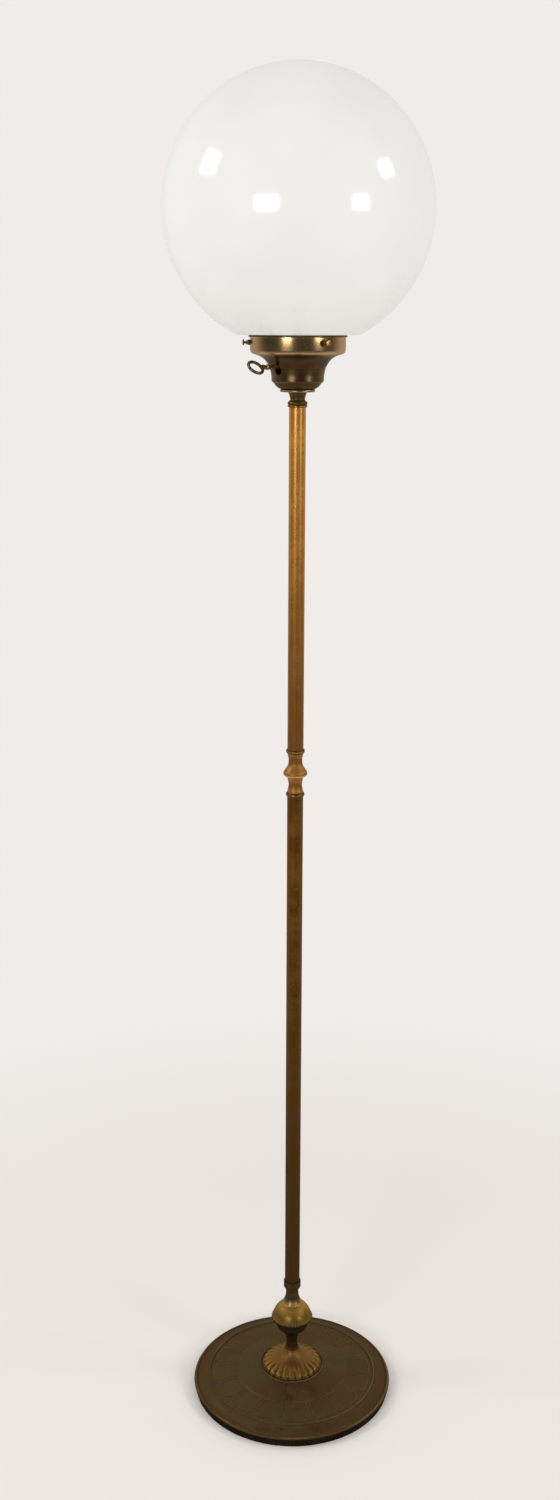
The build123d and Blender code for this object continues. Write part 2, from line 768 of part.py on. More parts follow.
# Each screw: shank, shoulder, waist and a flat round head, end to end outward.
screw_tip = globe_neck_radius + seat_gap
screw_shoulder_start = band_radius + boss_length + seat_gap
screw_steps = [
    (screw_tip, screw_shoulder_start - screw_tip, screw_radius),
    (screw_shoulder_start, screw_shoulder, screw_shoulder_radius),
    (screw_shoulder_start + screw_shoulder, screw_waist, screw_radius),
    (screw_shoulder_start + screw_shoulder + screw_waist, screw_head, screw_head_radius),
]
for name, angle in screw_angles.items():
    with BuildPart() as thumbscrew:
        for start, length, radius in screw_steps:
            with BuildSketch(radial_plane(angle, z_screw, start)) as step_face:
                Circle(radius)
            extrude(amount=length)
        head_edges = thumbscrew.edges().filter_by(GeomType.CIRCLE).sort_by(SortBy.RADIUS)[-2:]
        fillet(head_edges, 0.3 * screw_head)
    save(thumbscrew, name)

# ---------------------------------------------------------------- globe
# Blown opal glass: a full ball and a flattened shoulder over the gallery's rim.
z_shoulder = z_globe - shoulder_drop
z_globe_neck = z_shoulder - globe_neck_length
z_neck_joint = z_shoulder - neck_round
with BuildPart() as globe:
    with BuildSketch(Plane.XZ) as globe_section:
        with Locations((0, z_globe)):
            Circle(globe_radius)
        with Locations((0, z_shoulder - globe_radius / 2)):
            Rectangle(2 * globe_radius, globe_radius, mode=Mode.SUBTRACT)
        with Locations((0, z_shoulder - globe_neck_length / 2)):
            Rectangle(2 * globe_neck_radius, globe_neck_length)
        for near_neck, radius in ((False, shoulder_round), (True, neck_round)):
            corners = [v for v in globe_section.vertices() if abs(v.Y - z_shoulder) < glass_wall]
            fillet([v for v in corners if (abs(v.X) < globe_neck_radius + glass_wall) == near_neck], radius)
        offset(amount=-glass_wall, mode=Mode.SUBTRACT)
        with Locations((0, z_neck_joint - globe_neck_length)):
            Rectangle(2 * globe_radius, 2 * globe_neck_length, mode=Mode.SUBTRACT)
        with Locations((-globe_radius, z_globe)):
            Rectangle(2 * globe_radius, 4 * globe_radius, mode=Mode.SUBTRACT)
    revolve(axis=Axis.Z)
save(globe, "globe")

# The globe's straight neck, of the same glass, which drops into the gallery's band.
with BuildPart() as globe_neck:
    with BuildSketch(Plane.XY.offset(z_globe_neck)) as neck_ring:
        Circle(globe_neck_radius)
        Circle(globe_neck_radius - glass_wall, mode=Mode.SUBTRACT)
    extrude(amount=z_neck_joint - z_globe_neck)
save(globe_neck, "globe_neck")

# ---------------------------------------------------------------- lampholder
# Cap screwed to the pipe; its hub clamps the gallery, disc and neck on the column.
with BuildPart() as socket_cap:
    with BuildSketch(Plane.XZ) as cap_section:
        with BuildLine() as cap_line:
            FilletPolyline(
                (pipe_radius + thread_gap, z_cap_floor),
                (cap_radius - cap_wall, z_cap_floor),
                (cap_radius - cap_wall, z_hub + cap_height),
                radius=cap_shoulder_round,
            )
            offset(amount=cap_wall, side=Side.RIGHT)
        make_face()
    revolve(axis=Axis.Z)
    with BuildSketch(Plane.XY.offset(z_hub)) as hub_outline:
        Circle(cap_hub_radius)
        Circle(pipe_radius + thread_gap, mode=Mode.SUBTRACT)
    extrude(amount=cap_shoulder_rise)
save(socket_cap, "socket_cap")

# Outer shell and the card liner inside it, both pierced for the key's spindle.
liner_radius = shell_radius - shell_wall - slip_gap
holder_walls = {
    "socket_shell": (shell_radius, shell_wall, shell_height),
    "socket_liner": (liner_radius, liner_wall, shell_height - shell_lip),
}
z_shell = z_body + cap_shoulder_round
for name, (radius, wall, height) in holder_walls.items():
    with BuildPart() as holder_wall:
        with BuildSketch(Plane.XY.offset(z_shell)) as wall_section:
            Circle(radius)
            Circle(radius - wall, mode=Mode.SUBTRACT)
        extrude(amount=height - cap_shoulder_round)
        with BuildSketch(radial_plane(key_angle, z_key)) as spindle_hole:
            Circle(spindle_radius + slip_gap)
        extrude(amount=shell_radius + shell_lip, mode=Mode.SUBTRACT)
    save(holder_wall, name)

# Moulded body with a switch chamber below and the contacts on top.
z_chamber_top = z_key + cam_radius + chamber_room
with BuildPart() as socket_body:
    with BuildSketch(Plane.XY.offset(z_body)) as body_foot_outline:
        Circle(body_foot_radius - cap_shoulder_round / 2)
    extrude(amount=body_foot)
    with BuildSketch(Plane.XY.offset(z_body + body_foot)) as body_outline:
        Circle(body_radius)
    extrude(amount=body_height - body_foot)
    with BuildSketch(Plane.XY.offset(z_body)) as chamber_outline:
        Circle(chamber_radius)
    extrude(amount=z_chamber_top - z_body, mode=Mode.SUBTRACT)
    with BuildSketch(radial_plane(key_angle, z_key)) as spindle_bore:
        Circle(spindle_radius + turn_gap)
    extrude(amount=body_foot_radius, mode=Mode.SUBTRACT)
    for side in (-90, 90):
        with BuildSketch(radial_plane(key_angle + side, z_body + terminal_rise)) as terminal_hole:
            Circle(terminal_radius + thread_gap)
        extrude(amount=body_foot_radius, mode=Mode.SUBTRACT)
save(socket_body, "socket_body")

with BuildPart() as terminal_screws:
    for side in (-90, 90):
        terminal_plane = radial_plane(key_angle + side, z_body + terminal_rise, body_radius)
        with BuildSketch(terminal_plane) as terminal_face:
            Circle(terminal_radius)
        extrude(amount=-terminal_length)
        with BuildSketch(terminal_plane) as terminal_top:
            Circle(terminal_head_radius)
        extrude(amount=terminal_head)
save(terminal_screws, "terminal_screws")

with BuildPart() as screw_shell:
    with BuildSketch(Plane.XY.offset(z_screw_shell)) as screw_shell_outline:
        Circle(screw_shell_radius)
        Circle(screw_shell_hole, mode=Mode.SUBTRACT)
    extrude(amount=screw_shell_height)
    with BuildSketch(Plane.XY.offset(z_screw_shell + screw_shell_wall)) as screw_shell_inside:
        Circle(screw_shell_radius - screw_shell_wall)
    extrude(amount=screw_shell_height, mode=Mode.SUBTRACT)
save(screw_shell, "screw_shell")

# Spring strip: one leg flat on the body, the other bent up under the bulb's contact.
with BuildPart() as centre_contact:
    with BuildSketch(Plane.XZ) as contact_section:
        with BuildLine() as contact_line:
            Polyline(
                (-contact_length / 2, z_screw_shell),
                (0, z_screw_shell),
                (-contact_length / 4, z_screw_shell + contact_lift),
                (contact_length / 4, z_screw_shell + contact_lift),
            )
            offset(amount=contact_thickness, side=Side.LEFT)
        make_face()
    extrude(amount=contact_width / 2, both=True)
save(centre_contact, "centre_contact")

# ---------------------------------------------------------------- turn key
with BuildPart() as key_spindle:
    with BuildSketch(radial_plane(key_angle, z_key, -spindle_tail)) as spindle_face:
        Circle(spindle_radius)
    extrude(amount=spindle_tail + spindle_outer)
    with BuildSketch(radial_plane(key_angle, z_key, -cam_length / 2)) as cam_face:
        RegularPolygon(cam_radius, 4)
    extrude(amount=cam_length)
save(key_spindle, "key_spindle")

# Wire ring on a round stem, whose blind end fits over the spindle.
stem_plane = radial_plane(key_angle, z_key, key_stem_start)
ring_lean = radians(key_tilt)
ring_up = stem_plane.y_dir * cos(ring_lean) - stem_plane.x_dir * sin(ring_lean)
ring_plane = Plane(
    origin=stem_plane.origin + stem_plane.z_dir * (key_ring_reach - key_stem_start),
    x_dir=stem_plane.z_dir,
    z_dir=stem_plane.z_dir.cross(ring_up),
)
key_stem_length = key_ring_reach - key_ring_radius - key_stem_start
with BuildPart() as key:
    with BuildSketch(stem_plane) as stem_face:
        Circle(key_stem_radius)
    extrude(amount=key_stem_length)
    with BuildSketch(stem_plane.offset(key_stem_length - key_collar)) as collar_face:
        Circle(key_collar_radius)
    extrude(amount=-key_collar)
    with Locations(ring_plane):
        Torus(key_ring_radius, key_wire_radius)
    with BuildSketch(stem_plane) as socket_face:
        Circle(spindle_radius + thread_gap)
    extrude(amount=key_socket_depth, mode=Mode.SUBTRACT)
save(key, "key")

# ---------------------------------------------------------------- bulb
z_insulator = z_bulb + bulb_contact_height
bulb_cap_radius = screw_shell_radius - screw_shell_wall - bulb_gap
with BuildPart() as bulb_contact:
    with BuildSketch(Plane.XY.offset(z_bulb)) as bulb_contact_outline:
        Circle(bulb_contact_radius)
    extrude(amount=bulb_contact_height)
    fillet(bulb_contact.edges().group_by(Axis.Z)[0], 0.6 * bulb_contact_height)
save(bulb_contact, "bulb_contact")

with BuildPart() as bulb_insulator:
    with BuildSketch(Plane.XZ) as insulator_section:
        with BuildLine() as insulator_line:
            Polyline(
                (0, z_insulator),
                (bulb_contact_radius, z_insulator),
                (bulb_insulator_radius, z_insulator + bulb_insulator_height),
                (0, z_insulator + bulb_insulator_height),
                close=True,
            )
        make_face()
    revolve(axis=Axis.Z)
save(bulb_insulator, "bulb_insulator")

z_bulb_cap = z_insulator + bulb_insulator_height
with BuildPart() as bulb_cap:
    with BuildSketch(Plane.XY.offset(z_bulb_cap)) as bulb_cap_outline:
        Circle(bulb_cap_radius)
    extrude(amount=bulb_cap_height - bulb_contact_height - bulb_insulator_height)
    with BuildSketch(Plane.XY.offset(z_bulb_cap + bulb_cap_wall)) as bulb_cap_inside:
        Circle(bulb_cap_radius - bulb_cap_wall)
    extrude(amount=bulb_cap_height, mode=Mode.SUBTRACT)
save(bulb_cap, "bulb_cap")

# Pear-shaped glass, open where its neck goes into the cap.
z_glass = z_bulb_cap + bulb_cap_wall + slip_gap
z_glass_ball = z_bulb + bulb_height - bulb_radius
glass_neck_radius = bulb_cap_radius - bulb_cap_wall - slip_gap
glass_walls = {Mode.ADD: 0, Mode.SUBTRACT: bulb_glass_wall}
with BuildPart() as bulb_glass:
    with BuildSketch(Plane.XZ) as glass_section:
        for mode, inset in glass_walls.items():
            with BuildLine() as glass_line:
                neck_radius = glass_neck_radius - inset
                ball_wide = bulb_radius - inset
                glass_neck = Line((neck_radius, z_glass), (neck_radius, z_bulb + bulb_cap_height))
                glass_flare = Bezier(
                    glass_neck @ 1,
                    (neck_radius, z_bulb + bulb_cap_height + bulb_neck_height),
                    (ball_wide, z_glass_ball - bulb_neck_height),
                    (ball_wide, z_glass_ball),
                )
                glass_top = CenterArc((0, z_glass_ball), ball_wide, 0, 90)
                Polyline(glass_top @ 1, (0, z_glass), glass_neck @ 0)
            make_face(mode=mode)
    revolve(axis=Axis.Z)
save(bulb_glass, "bulb_glass")
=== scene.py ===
from math import atan2, cos, degrees, hypot, pi, radians, sin, sqrt

import bmesh
import bpy
from mathutils import Matrix, Vector
from mathutils.geometry import interpolate_bezier


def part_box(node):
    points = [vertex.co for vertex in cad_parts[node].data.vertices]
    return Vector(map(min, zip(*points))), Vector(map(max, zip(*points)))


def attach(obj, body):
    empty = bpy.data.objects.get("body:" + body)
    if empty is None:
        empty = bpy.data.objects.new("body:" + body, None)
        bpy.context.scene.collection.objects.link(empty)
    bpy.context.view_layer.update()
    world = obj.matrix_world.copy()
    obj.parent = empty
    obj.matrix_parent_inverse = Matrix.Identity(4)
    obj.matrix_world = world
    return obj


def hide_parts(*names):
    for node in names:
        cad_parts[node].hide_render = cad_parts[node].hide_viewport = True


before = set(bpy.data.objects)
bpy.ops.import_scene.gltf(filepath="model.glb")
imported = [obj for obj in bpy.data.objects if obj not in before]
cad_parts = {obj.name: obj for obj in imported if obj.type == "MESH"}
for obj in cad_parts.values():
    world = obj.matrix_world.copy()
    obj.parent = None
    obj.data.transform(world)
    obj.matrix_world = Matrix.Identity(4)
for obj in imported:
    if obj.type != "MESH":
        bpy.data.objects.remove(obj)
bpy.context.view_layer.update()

# ---------------------------------------------------------------- camera
# Stands at about the height of the gallery's rim, 1.87 m in front of the column, and looks
# down at the lamp through a slightly wide lens.
camera_height = 1.39226
camera_distance = 1.86671
pitch_down = 0.263891
turn_left = 0.0100349
roll = 0.00342644
focal_length = 38.28

look = Vector((-sin(turn_left) * cos(pitch_down), cos(turn_left) * cos(pitch_down), -sin(pitch_down)))
level_right = Vector((cos(turn_left), sin(turn_left), 0))
level_up = level_right.cross(look)
right = level_right * cos(roll) + level_up * sin(roll)
upward = level_up * cos(roll) - level_right * sin(roll)
camera = bpy.data.objects.new("camera", bpy.data.cameras.new("camera"))
camera.data.sensor_width = 36
camera.data.lens = focal_length
camera.data.clip_end = 50
camera.matrix_world = Matrix.Translation((0, -camera_distance, camera_height)) @ Matrix(
    (right, upward, -look)).transposed().to_4x4()
bpy.context.scene.collection.objects.link(camera)
bpy.context.scene.camera = camera
bpy.context.scene.view_settings.view_transform = "Standard"


# ---------------------------------------------------------------- room
# A pale wall colour all round. Metal and glass see it dim towards the front and nearly full at
# the back and the sides, so that the brass has dark and light to mirror.
class Reading:
    """An output of a shader node, which plain arithmetic can use."""

    def __init__(self, recipe, socket):
        self.recipe, self.socket = recipe, socket

    def work(self, operation, *terms):
        """Math node on this reading and the other terms."""
        return self.recipe.add("ShaderNodeMath", {"operation": operation}, dict(enumerate(terms)))

    def __add__(self, other):
        return self.work("ADD", self, other)

    def __sub__(self, other):
        return self.work("SUBTRACT", self, other)

    def __rsub__(self, other):
        return self.work("SUBTRACT", other, self)

    def __mul__(self, other):
        return self.work("MULTIPLY", self, other)

    def __truediv__(self, other):
        return self.work("DIVIDE", self, other)

    def __pow__(self, other):
        return self.work("POWER", self, other)

    __radd__ = __add__
    __rmul__ = __mul__


class Recipe:
    """The shader nodes of one finish, of the floor or of the room."""

    def __init__(self, owner):
        owner.use_nodes = True
        self.tree = owner.node_tree
        self.tree.nodes.clear()

    def add(self, kind, settings=None, inputs=None, output=0):
        """Any node: its type, its settings, and then the values or links of its sockets."""
        node = self.tree.nodes.new(kind)
        for name, value in (settings or {}).items():
            setattr(node, name, value)
        for name, value in (inputs or {}).items():
            if isinstance(value, Reading):
                self.tree.links.new(value.socket, node.inputs[name])
            else:
                node.inputs[name].default_value = value
        return Reading(self, node.outputs[output]) if node.outputs else None

    def split(self, vector):
        """X, Y and Z of a vector."""
        return [self.add("ShaderNodeSeparateXYZ", inputs={0: vector}, output=axis) for axis in "XYZ"]

    def vector(self, x, y, z):
        """Vector out of three readings or numbers."""
        return self.add("ShaderNodeCombineXYZ", inputs={0: x, 1: y, 2: z})

    def between(self, value, low, high):
        """0 below low, 1 above high, and a smooth step between them."""
        return self.add(
            "ShaderNodeMapRange",
            {"interpolation_type": "SMOOTHSTEP"},
            {"Value": value, "From Min": low, "From Max": high},
        )

    def mix(self, factor, first, second):
        """The first colour where the factor is 0, the second where it is 1."""
        return self.add("ShaderNodeMix", {"data_type": "RGBA"}, {0: factor, 6: first, 7: second}, output=2)

    def place(self):
        """The point's place on the object, in metres."""
        return self.add("ShaderNodeTexCoord", output="Object")

    def noise(self, vector, scale, detail=3, roughness=0.55):
        """Clouds or grain, by its scale."""
        inputs = {"Vector": vector, "Scale": scale, "Detail": detail, "Roughness": roughness}
        return self.add("ShaderNodeTexNoise", inputs=inputs)


def srgb(red, green, blue):
    """Colour of the photograph's scale, 0 to 255, as the shader's linear one."""
    parts = [part / 255 for part in (red, green, blue)]
    return (*[p / 12.92 if p < 0.04045 else ((p + 0.055) / 1.055) ** 2.4 for p in parts], 1)


wall_colour = srgb(240, 236, 233)
room_light = 0.72                                       # what the wall gives to matt surfaces
from_below, more_above, more_behind = 0.76, 0.24, 0.22  # its shares, by direction
mirror_front, mirror_more_behind = 0.08, 0.82           # what mirrors see of the wall
bpy.context.scene.world = bpy.data.worlds.new("room")
room = Recipe(bpy.context.scene.world)
_, depth, rise = room.split(room.add("ShaderNodeTexCoord", output="Generated"))
behind = room.between(depth, -0.15, 0.85)
glossy_view = mirror_front + mirror_more_behind * behind
from_above = room.between(rise, -0.35, 0.25)
soft_light = room_light * (from_below + more_above * from_above + more_behind * behind)
direct, glossy, transmitted = (room.add("ShaderNodeLightPath", output=name) for name in
                               ("Is Camera Ray", "Is Glossy Ray", "Is Transmission Ray"))
mirrored = room.add("ShaderNodeMath", {"operation": "MAXIMUM"}, {0: glossy, 1: transmitted})
strength = direct + (1 - direct) * (mirrored * glossy_view + (1 - mirrored) * soft_light)
light = room.add("ShaderNodeBackground", inputs={"Color": wall_colour, "Strength": strength})
room.add("ShaderNodeOutputWorld", inputs={"Surface": light})

# Four soft boxes, two at each side of the camera, placed so that the globe mirrors them where
# the photograph shows them.
lamp_radiance = 12.5
aim = Vector((0, 0, 1.2))
soft_boxes = {              # place, width, height
    "left_low": ((-1.815, -3.729, 1.587), 1.38, 0.78),
    "right_low": ((3.198, -2.617, 1.696), 1.00, 0.72),
    "left_high": ((-3.671, -0.346, 3.320), 1.10, 0.94),
    "right_high": ((3.717, -0.654, 3.142), 0.87, 0.73),
}
for name, (place, width, height) in soft_boxes.items():
    lamp = bpy.data.lights.new(name, "AREA")
    lamp.shape = "RECTANGLE"
    lamp.size, lamp.size_y = width, height
    lamp.energy = lamp_radiance * pi * width * height
    holder = bpy.data.objects.new(name, lamp)
    facing = (aim - Vector(place)).to_track_quat("-Z", "Y").to_matrix().to_4x4()
    holder.matrix_world = Matrix.Translation(place) @ facing
    bpy.context.scene.collection.objects.link(holder)

# ---------------------------------------------------------------- floor
# A pale matt disc that keeps the lamp's shadow near the base and fades into the wall further
# out, so that no edge or horizon shows from any side.
floor_radius = 2.4
fade_from, fade_to = 0.45, 1.25         # from matt floor to plain wall colour
front_glow = 0.22                       # share of that colour that the lamp gets from in front
floor_colour = srgb(240, 237, 233)
shape = bmesh.new()
bmesh.ops.create_circle(shape, cap_ends=True, segments=96, radius=floor_radius)
floor_mesh = bpy.data.meshes.new("floor")
shape.to_mesh(floor_mesh)
shape.free()
floor = bpy.data.objects.new("floor", floor_mesh)
bpy.context.scene.collection.objects.link(floor)
floor_finish = bpy.data.materials.new("floor")
floor_mesh.materials.append(floor_finish)
ground = Recipe(floor_finish)
across, along, _ = ground.split(ground.place())
fade = ground.between((across ** 2 + along ** 2) ** 0.5, fade_from, fade_to)
straight = ground.add("ShaderNodeLightPath", output="Is Camera Ray")
seen = straight + ground.add("ShaderNodeLightPath", output="Is Glossy Ray")
matt = ground.add("ShaderNodeBsdfPrincipled", inputs={
    "Base Color": floor_colour, "Roughness": 0.85, "Specular IOR Level": 0.2})
glow = front_glow + (1 - front_glow) * ground.between(along, -0.9, 0.3)
plain = ground.add("ShaderNodeEmission", inputs={
    "Color": wall_colour, "Strength": straight + (1 - straight) * glow})
faded = ground.add("ShaderNodeMixShader", inputs={0: fade * seen, 1: matt, 2: plain})
ground.add("ShaderNodeOutputMaterial", inputs={"Surface": faded})


# ---------------------------------------------------------------- base pan
# Shallow spun brass pan, matt and dark with age: rolled lip, turned groove, cyma band, bead,
# a field with sixteen petals in low relief, and the flat seat that carries the foot.
def curve(start, pull_start, pull_end, end, steps=10):
    """Outline points along a Bezier curve."""
    points = interpolate_bezier(Vector(start), Vector(pull_start), Vector(pull_end), Vector(end), steps + 1)
    return [tuple(point) for point in points]


def bead(middle, radius, start, end, steps=8):
    """Outline points round an arc, its ends in degrees."""
    angles = [radians(start + (end - start) * step / steps) for step in range(steps + 1)]
    return [(middle[0] + radius * cos(angle), middle[1] + radius * sin(angle)) for angle in angles]


def flowing(points, steps=4):
    """Smooth outline through measured points."""
    points = [Vector(point) for point in points]
    padded = [points[0], *points, points[-1]]
    line = [points[0]]
    for before, start, end, after in zip(padded, padded[1:], padded[2:], padded[3:]):
        pulls = start + (end - before) / 6, end - (after - start) / 6
        line += interpolate_bezier(start, *pulls, end, steps + 1)[1:]
    return [tuple(point) for point in line]


def walled(outside, wall):
    """Outline of a spun sheet: the outside line, and the same line one wall further in."""
    outside = [Vector(point) for point in outside]
    inside = []
    for before, point, after in zip([outside[0], *outside], outside, [*outside[1:], outside[-1]]):
        run = (after - before).normalized()
        inside.append(point + Vector((-run.y, run.x)) * wall)
    return [tuple(point) for point in outside + inside[::-1]]


def turned(outline, steps=192):
    """Closed outline of (radius, height) points in millimetres, spun round the column's axis."""
    shape = bmesh.new()
    points = [shape.verts.new((radius, 0, height)) for radius, height in outline]
    lines = [shape.edges.new(pair) for pair in zip(points, points[1:] + points[:1])]
    bmesh.ops.spin(shape, geom=points + lines, axis=(0, 0, 1), cent=(0, 0, 0), angle=2 * pi,
                   steps=steps, use_merge=True)
    bmesh.ops.remove_doubles(shape, verts=shape.verts, dist=0.002)
    bmesh.ops.recalc_face_normals(shape, faces=shape.faces)
    return shape


def together(*shapes):
    """One bmesh out of several."""
    first, *others = shapes
    for other in others:
        carrier = bpy.data.meshes.new("carrier")
        other.to_mesh(carrier)
        other.free()
        first.from_mesh(carrier)
        bpy.data.meshes.remove(carrier)
    return first


millimetres = 1000      # in a metre


def piece(name, shape, paint, body, slot, *nodes, sharp=32):
    """Finished piece, from millimetres to metres, in place of its CAD nodes."""
    bmesh.ops.scale(shape, vec=[1 / millimetres] * 3, verts=shape.verts)
    mesh = bpy.data.meshes.new(name)
    shape.to_mesh(mesh)
    shape.free()
    mesh.shade_smooth()
    mesh.set_sharp_from_angle(angle=radians(sharp))
    mesh.materials.append(paint)
    made = bpy.data.objects.new(name, mesh)
    bpy.context.scene.collection.objects.link(made)
    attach(made, body)
    if nodes:
        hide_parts(*nodes)
    return made


def brass(name, lit, shade, tarnish, grain, roughness=0.34, tarnished=0.5, relief=0.00008,
          pits=0.0, bare=1.0, spun=0.0, layers=()):
    """Aged brass: tool lines, brown and green tarnish in clouds, and layers of wear, dirt, painted
    highlight and painted shade, each a mask, a colour and the gloss that it adds. Bare is 1 for open
    metal, less under old lacquer; spun is how far the tool lines draw a highlight out across them."""
    finish = bpy.data.materials.new(name)
    recipe = Recipe(finish)
    point = recipe.add("ShaderNodeVectorMath", {"operation": "SCALE"},
                       {0: recipe.place(), "Scale": millimetres})
    x, y, z = recipe.split(point)
    radius = (x * x + y * y) ** 0.5
    if grain == "turned":
        lines = recipe.noise(recipe.vector(radius, 0, z), 2.2, 2)
    elif grain == "drawn":
        lines = recipe.noise(recipe.vector(x, y, z * 0.02), 1.1, 3)
    else:
        lines = recipe.noise(point, 1.4, 5, 0.65)
    cloud = recipe.noise(point, 0.04, 4, 0.6)
    fleck = recipe.noise(point, 0.35, 4, 0.62)
    clean = 0.66 - 0.3 * tarnished      # reading of the noise up to which the metal is clean
    patina = recipe.between(cloud * 0.6 + fleck * 0.4, clean - 0.07, clean + 0.09)
    colour = recipe.mix(recipe.between(lines, 0.32, 0.68), lit, shade)
    colour = recipe.mix(patina * 0.75, colour, tarnish)
    height = lines
    if pits:
        holes = recipe.between(recipe.noise(point, 0.9, 1), 0.74 - pits, 0.79 - pits)
        colour = recipe.mix(holes, colour, srgb(34, 24, 14))
        height = height - holes * 2
    rough = roughness + 0.16 * patina + 0.08 * lines
    for mask, tone, gloss in layers:
        cover = mask(recipe, radius, z)
        colour = recipe.mix(cover, colour, tone)
        rough = rough - gloss * cover
    bump = recipe.add("ShaderNodeBump", inputs={"Strength": 0.5, "Distance": relief, "Height": height})
    surface = recipe.add("ShaderNodeBsdfPrincipled", inputs={
        "Base Color": colour, "Metallic": bare * (1 - 0.3 * patina), "Roughness": rough, "Normal": bump,
        "Anisotropic": spun, "Anisotropic Rotation": 0.25,
        "Specular Tint": (clean, clean, clean, 1)})      # tarnished metal mirrors less at its edges
    recipe.add("ShaderNodeOutputMaterial", inputs={"Surface": surface})
    return finish


petal_count = 16
petal_offset = 4.6              # degrees, from the front towards +X
petal_inner, petal_outer = 75.0, 104.0
petal_half_inner, petal_half_outer = 12.4, 16.2
petal_corner = 9.0
petal_flat = 7.2                # half of the end between the round corners
petal_bow = 0.6                 # how far that end swells outward
petal_line = 0.55
pipe_hole = 5.05                # clearance round the lamp pipe, in every piece of the column
field_outer, field_inner = (109.2, 18.2), (74.5, 22.8)
field_crown = 0.96
seat_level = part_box("gadroon_foot")[0].z * millimetres

pan_outside = [
    *flowing([(129.2, 0), (130.2, 4.0), (131.1, 8.0), (131.6, 10.4)]),
    *bead((129.0, 10.4), 2.6, 0, 90),
    *flowing([(128.7, 13), (128.2, 12.3), (127.4, 11.9), (126.6, 12.3), (126.1, 13)], 2),
    *curve((126.1, 13), (120.4, 13.3), (118.6, 18.0), (112.0, 18.2), 14),
    *bead((110.6, 18.2), 1.4, 0, 180),
    *curve(field_outer, (98, 20.0), (86, 21.6), field_inner, 10),
    (73.7, 23.6),
    *curve((73.2, 23.8), (64, 26.4), (54, 29.0), (43.5, seat_level), 10),
    *bead((42.0, seat_level), 1.5, 0, 180),
]
pan_inside = [(pipe_hole, seat_level), (pipe_hole, 28.2), (42, 28.2), (74.5, 21.0), (110.6, 16.4),
              (127.4, 10.1), (127.2, 8.6), (127.4, 0)]
pan = turned(pan_outside + pan_inside, steps=256)


def field_level(reach):
    """Height of the field at a radius, for a number or a shader reading."""
    share = (field_outer[0] - reach) / (field_outer[0] - field_inner[0])
    return field_outer[1] + share * (field_inner[1] - field_outer[1]) + share * (1 - share) * field_crown


petal_path = [(petal_inner, -petal_half_inner), (petal_outer - petal_corner, -petal_half_outer)]
petal_path += [(petal_outer - petal_corner + petal_corner * sin(radians(a)),
                -petal_half_outer + petal_corner * (1 - cos(radians(a)))) for a in range(15, 90, 15)]
petal_path += [(petal_outer + petal_bow * (1 - (across / petal_flat) ** 2), across)
               for across in (-petal_flat, -petal_flat / 2)]
petal_path += [(petal_outer + petal_bow, 0)] + [(along, -across) for along, across in petal_path[::-1]]
for petal in range(petal_count):
    line = bpy.data.curves.new("petal", "CURVE")
    line.dimensions = "3D"
    line.bevel_depth = petal_line
    line.bevel_resolution = 2
    line.use_fill_caps = True
    spline = line.splines.new("POLY")
    spline.points.add(len(petal_path) - 1)
    facing = radians(-90 + petal_offset + 360 / petal_count * petal)
    for knot, (along, across) in zip(spline.points, petal_path):
        knot.co = (along * cos(facing) - across * sin(facing), along * sin(facing) + across * cos(facing),
                   field_level(hypot(along, across)), 1)
    carrier = bpy.data.objects.new("petal", line)
    bpy.context.scene.collection.objects.link(carrier)
    ridge = bpy.data.meshes.new_from_object(carrier)
    pan.from_mesh(ridge)
    bpy.data.meshes.remove(ridge)
    bpy.data.objects.remove(carrier)
    bpy.data.curves.remove(line)


def lip_wear_and_highlight(recipe, radius, z):
    """Rubbed and painted highlight along the lip and on both beads."""
    lip = recipe.between(radius, 127.8, 129.8) * recipe.between(z, 11.8, 12.8)
    outer_bead = recipe.between(z, 18.9, 19.6) * recipe.between(radius, 108.9, 109.8)
    beads = outer_bead + recipe.between(z, 30.5, 31.3)
    patches = recipe.noise(recipe.place(), 14, 2)
    return (lip * 0.7 + beads * 0.45) * recipe.between(patches, 0.38, 0.62)


def ridge_wear_and_highlight(recipe, radius, z):
    """Rubbed and painted highlight on the petals' ridges."""
    inside = recipe.between(radius, 73, 75) * (1 - recipe.between(radius, 106, 107.5))
    patches = recipe.between(recipe.noise(recipe.place(), 18, 2), 0.3, 0.6)
    return recipe.between(z - field_level(radius), 0.15, 0.5) * inside * patches * 0.65


def red_cloud(recipe, radius, z):
    """Reddish brown in clouds, mostly near the foot and on the band."""
    patches = recipe.between(recipe.noise(recipe.place(), 9, 3), 0.42, 0.62)
    band = recipe.between(radius, 112, 120)
    return patches * (0.75 - 0.45 * recipe.between(radius, 60, 100)) + band * 0.3


def under_lip_shade(recipe, radius, z):
    """Painted shade, nearly black, on the side below the lip."""
    return recipe.between(radius, 128.4, 129.6) * (1 - recipe.between(z, 10.2, 12.4)) * 0.93


pan_brass = brass("pan_brass", srgb(110, 89, 54), srgb(95, 77, 46), srgb(82, 72, 44), "cast",
                  roughness=0.50, tarnished=0.55, relief=0.0001, layers=[
                      (red_cloud, srgb(94, 63, 38), 0), (ridge_wear_and_highlight, srgb(136, 116, 72), 0.05),
                      (lip_wear_and_highlight, srgb(136, 116, 78), 0.08), (under_lip_shade, srgb(26, 20, 10), 0)])
piece("pan", pan, pan_brass, "root", "pan_brass", "base_pan")


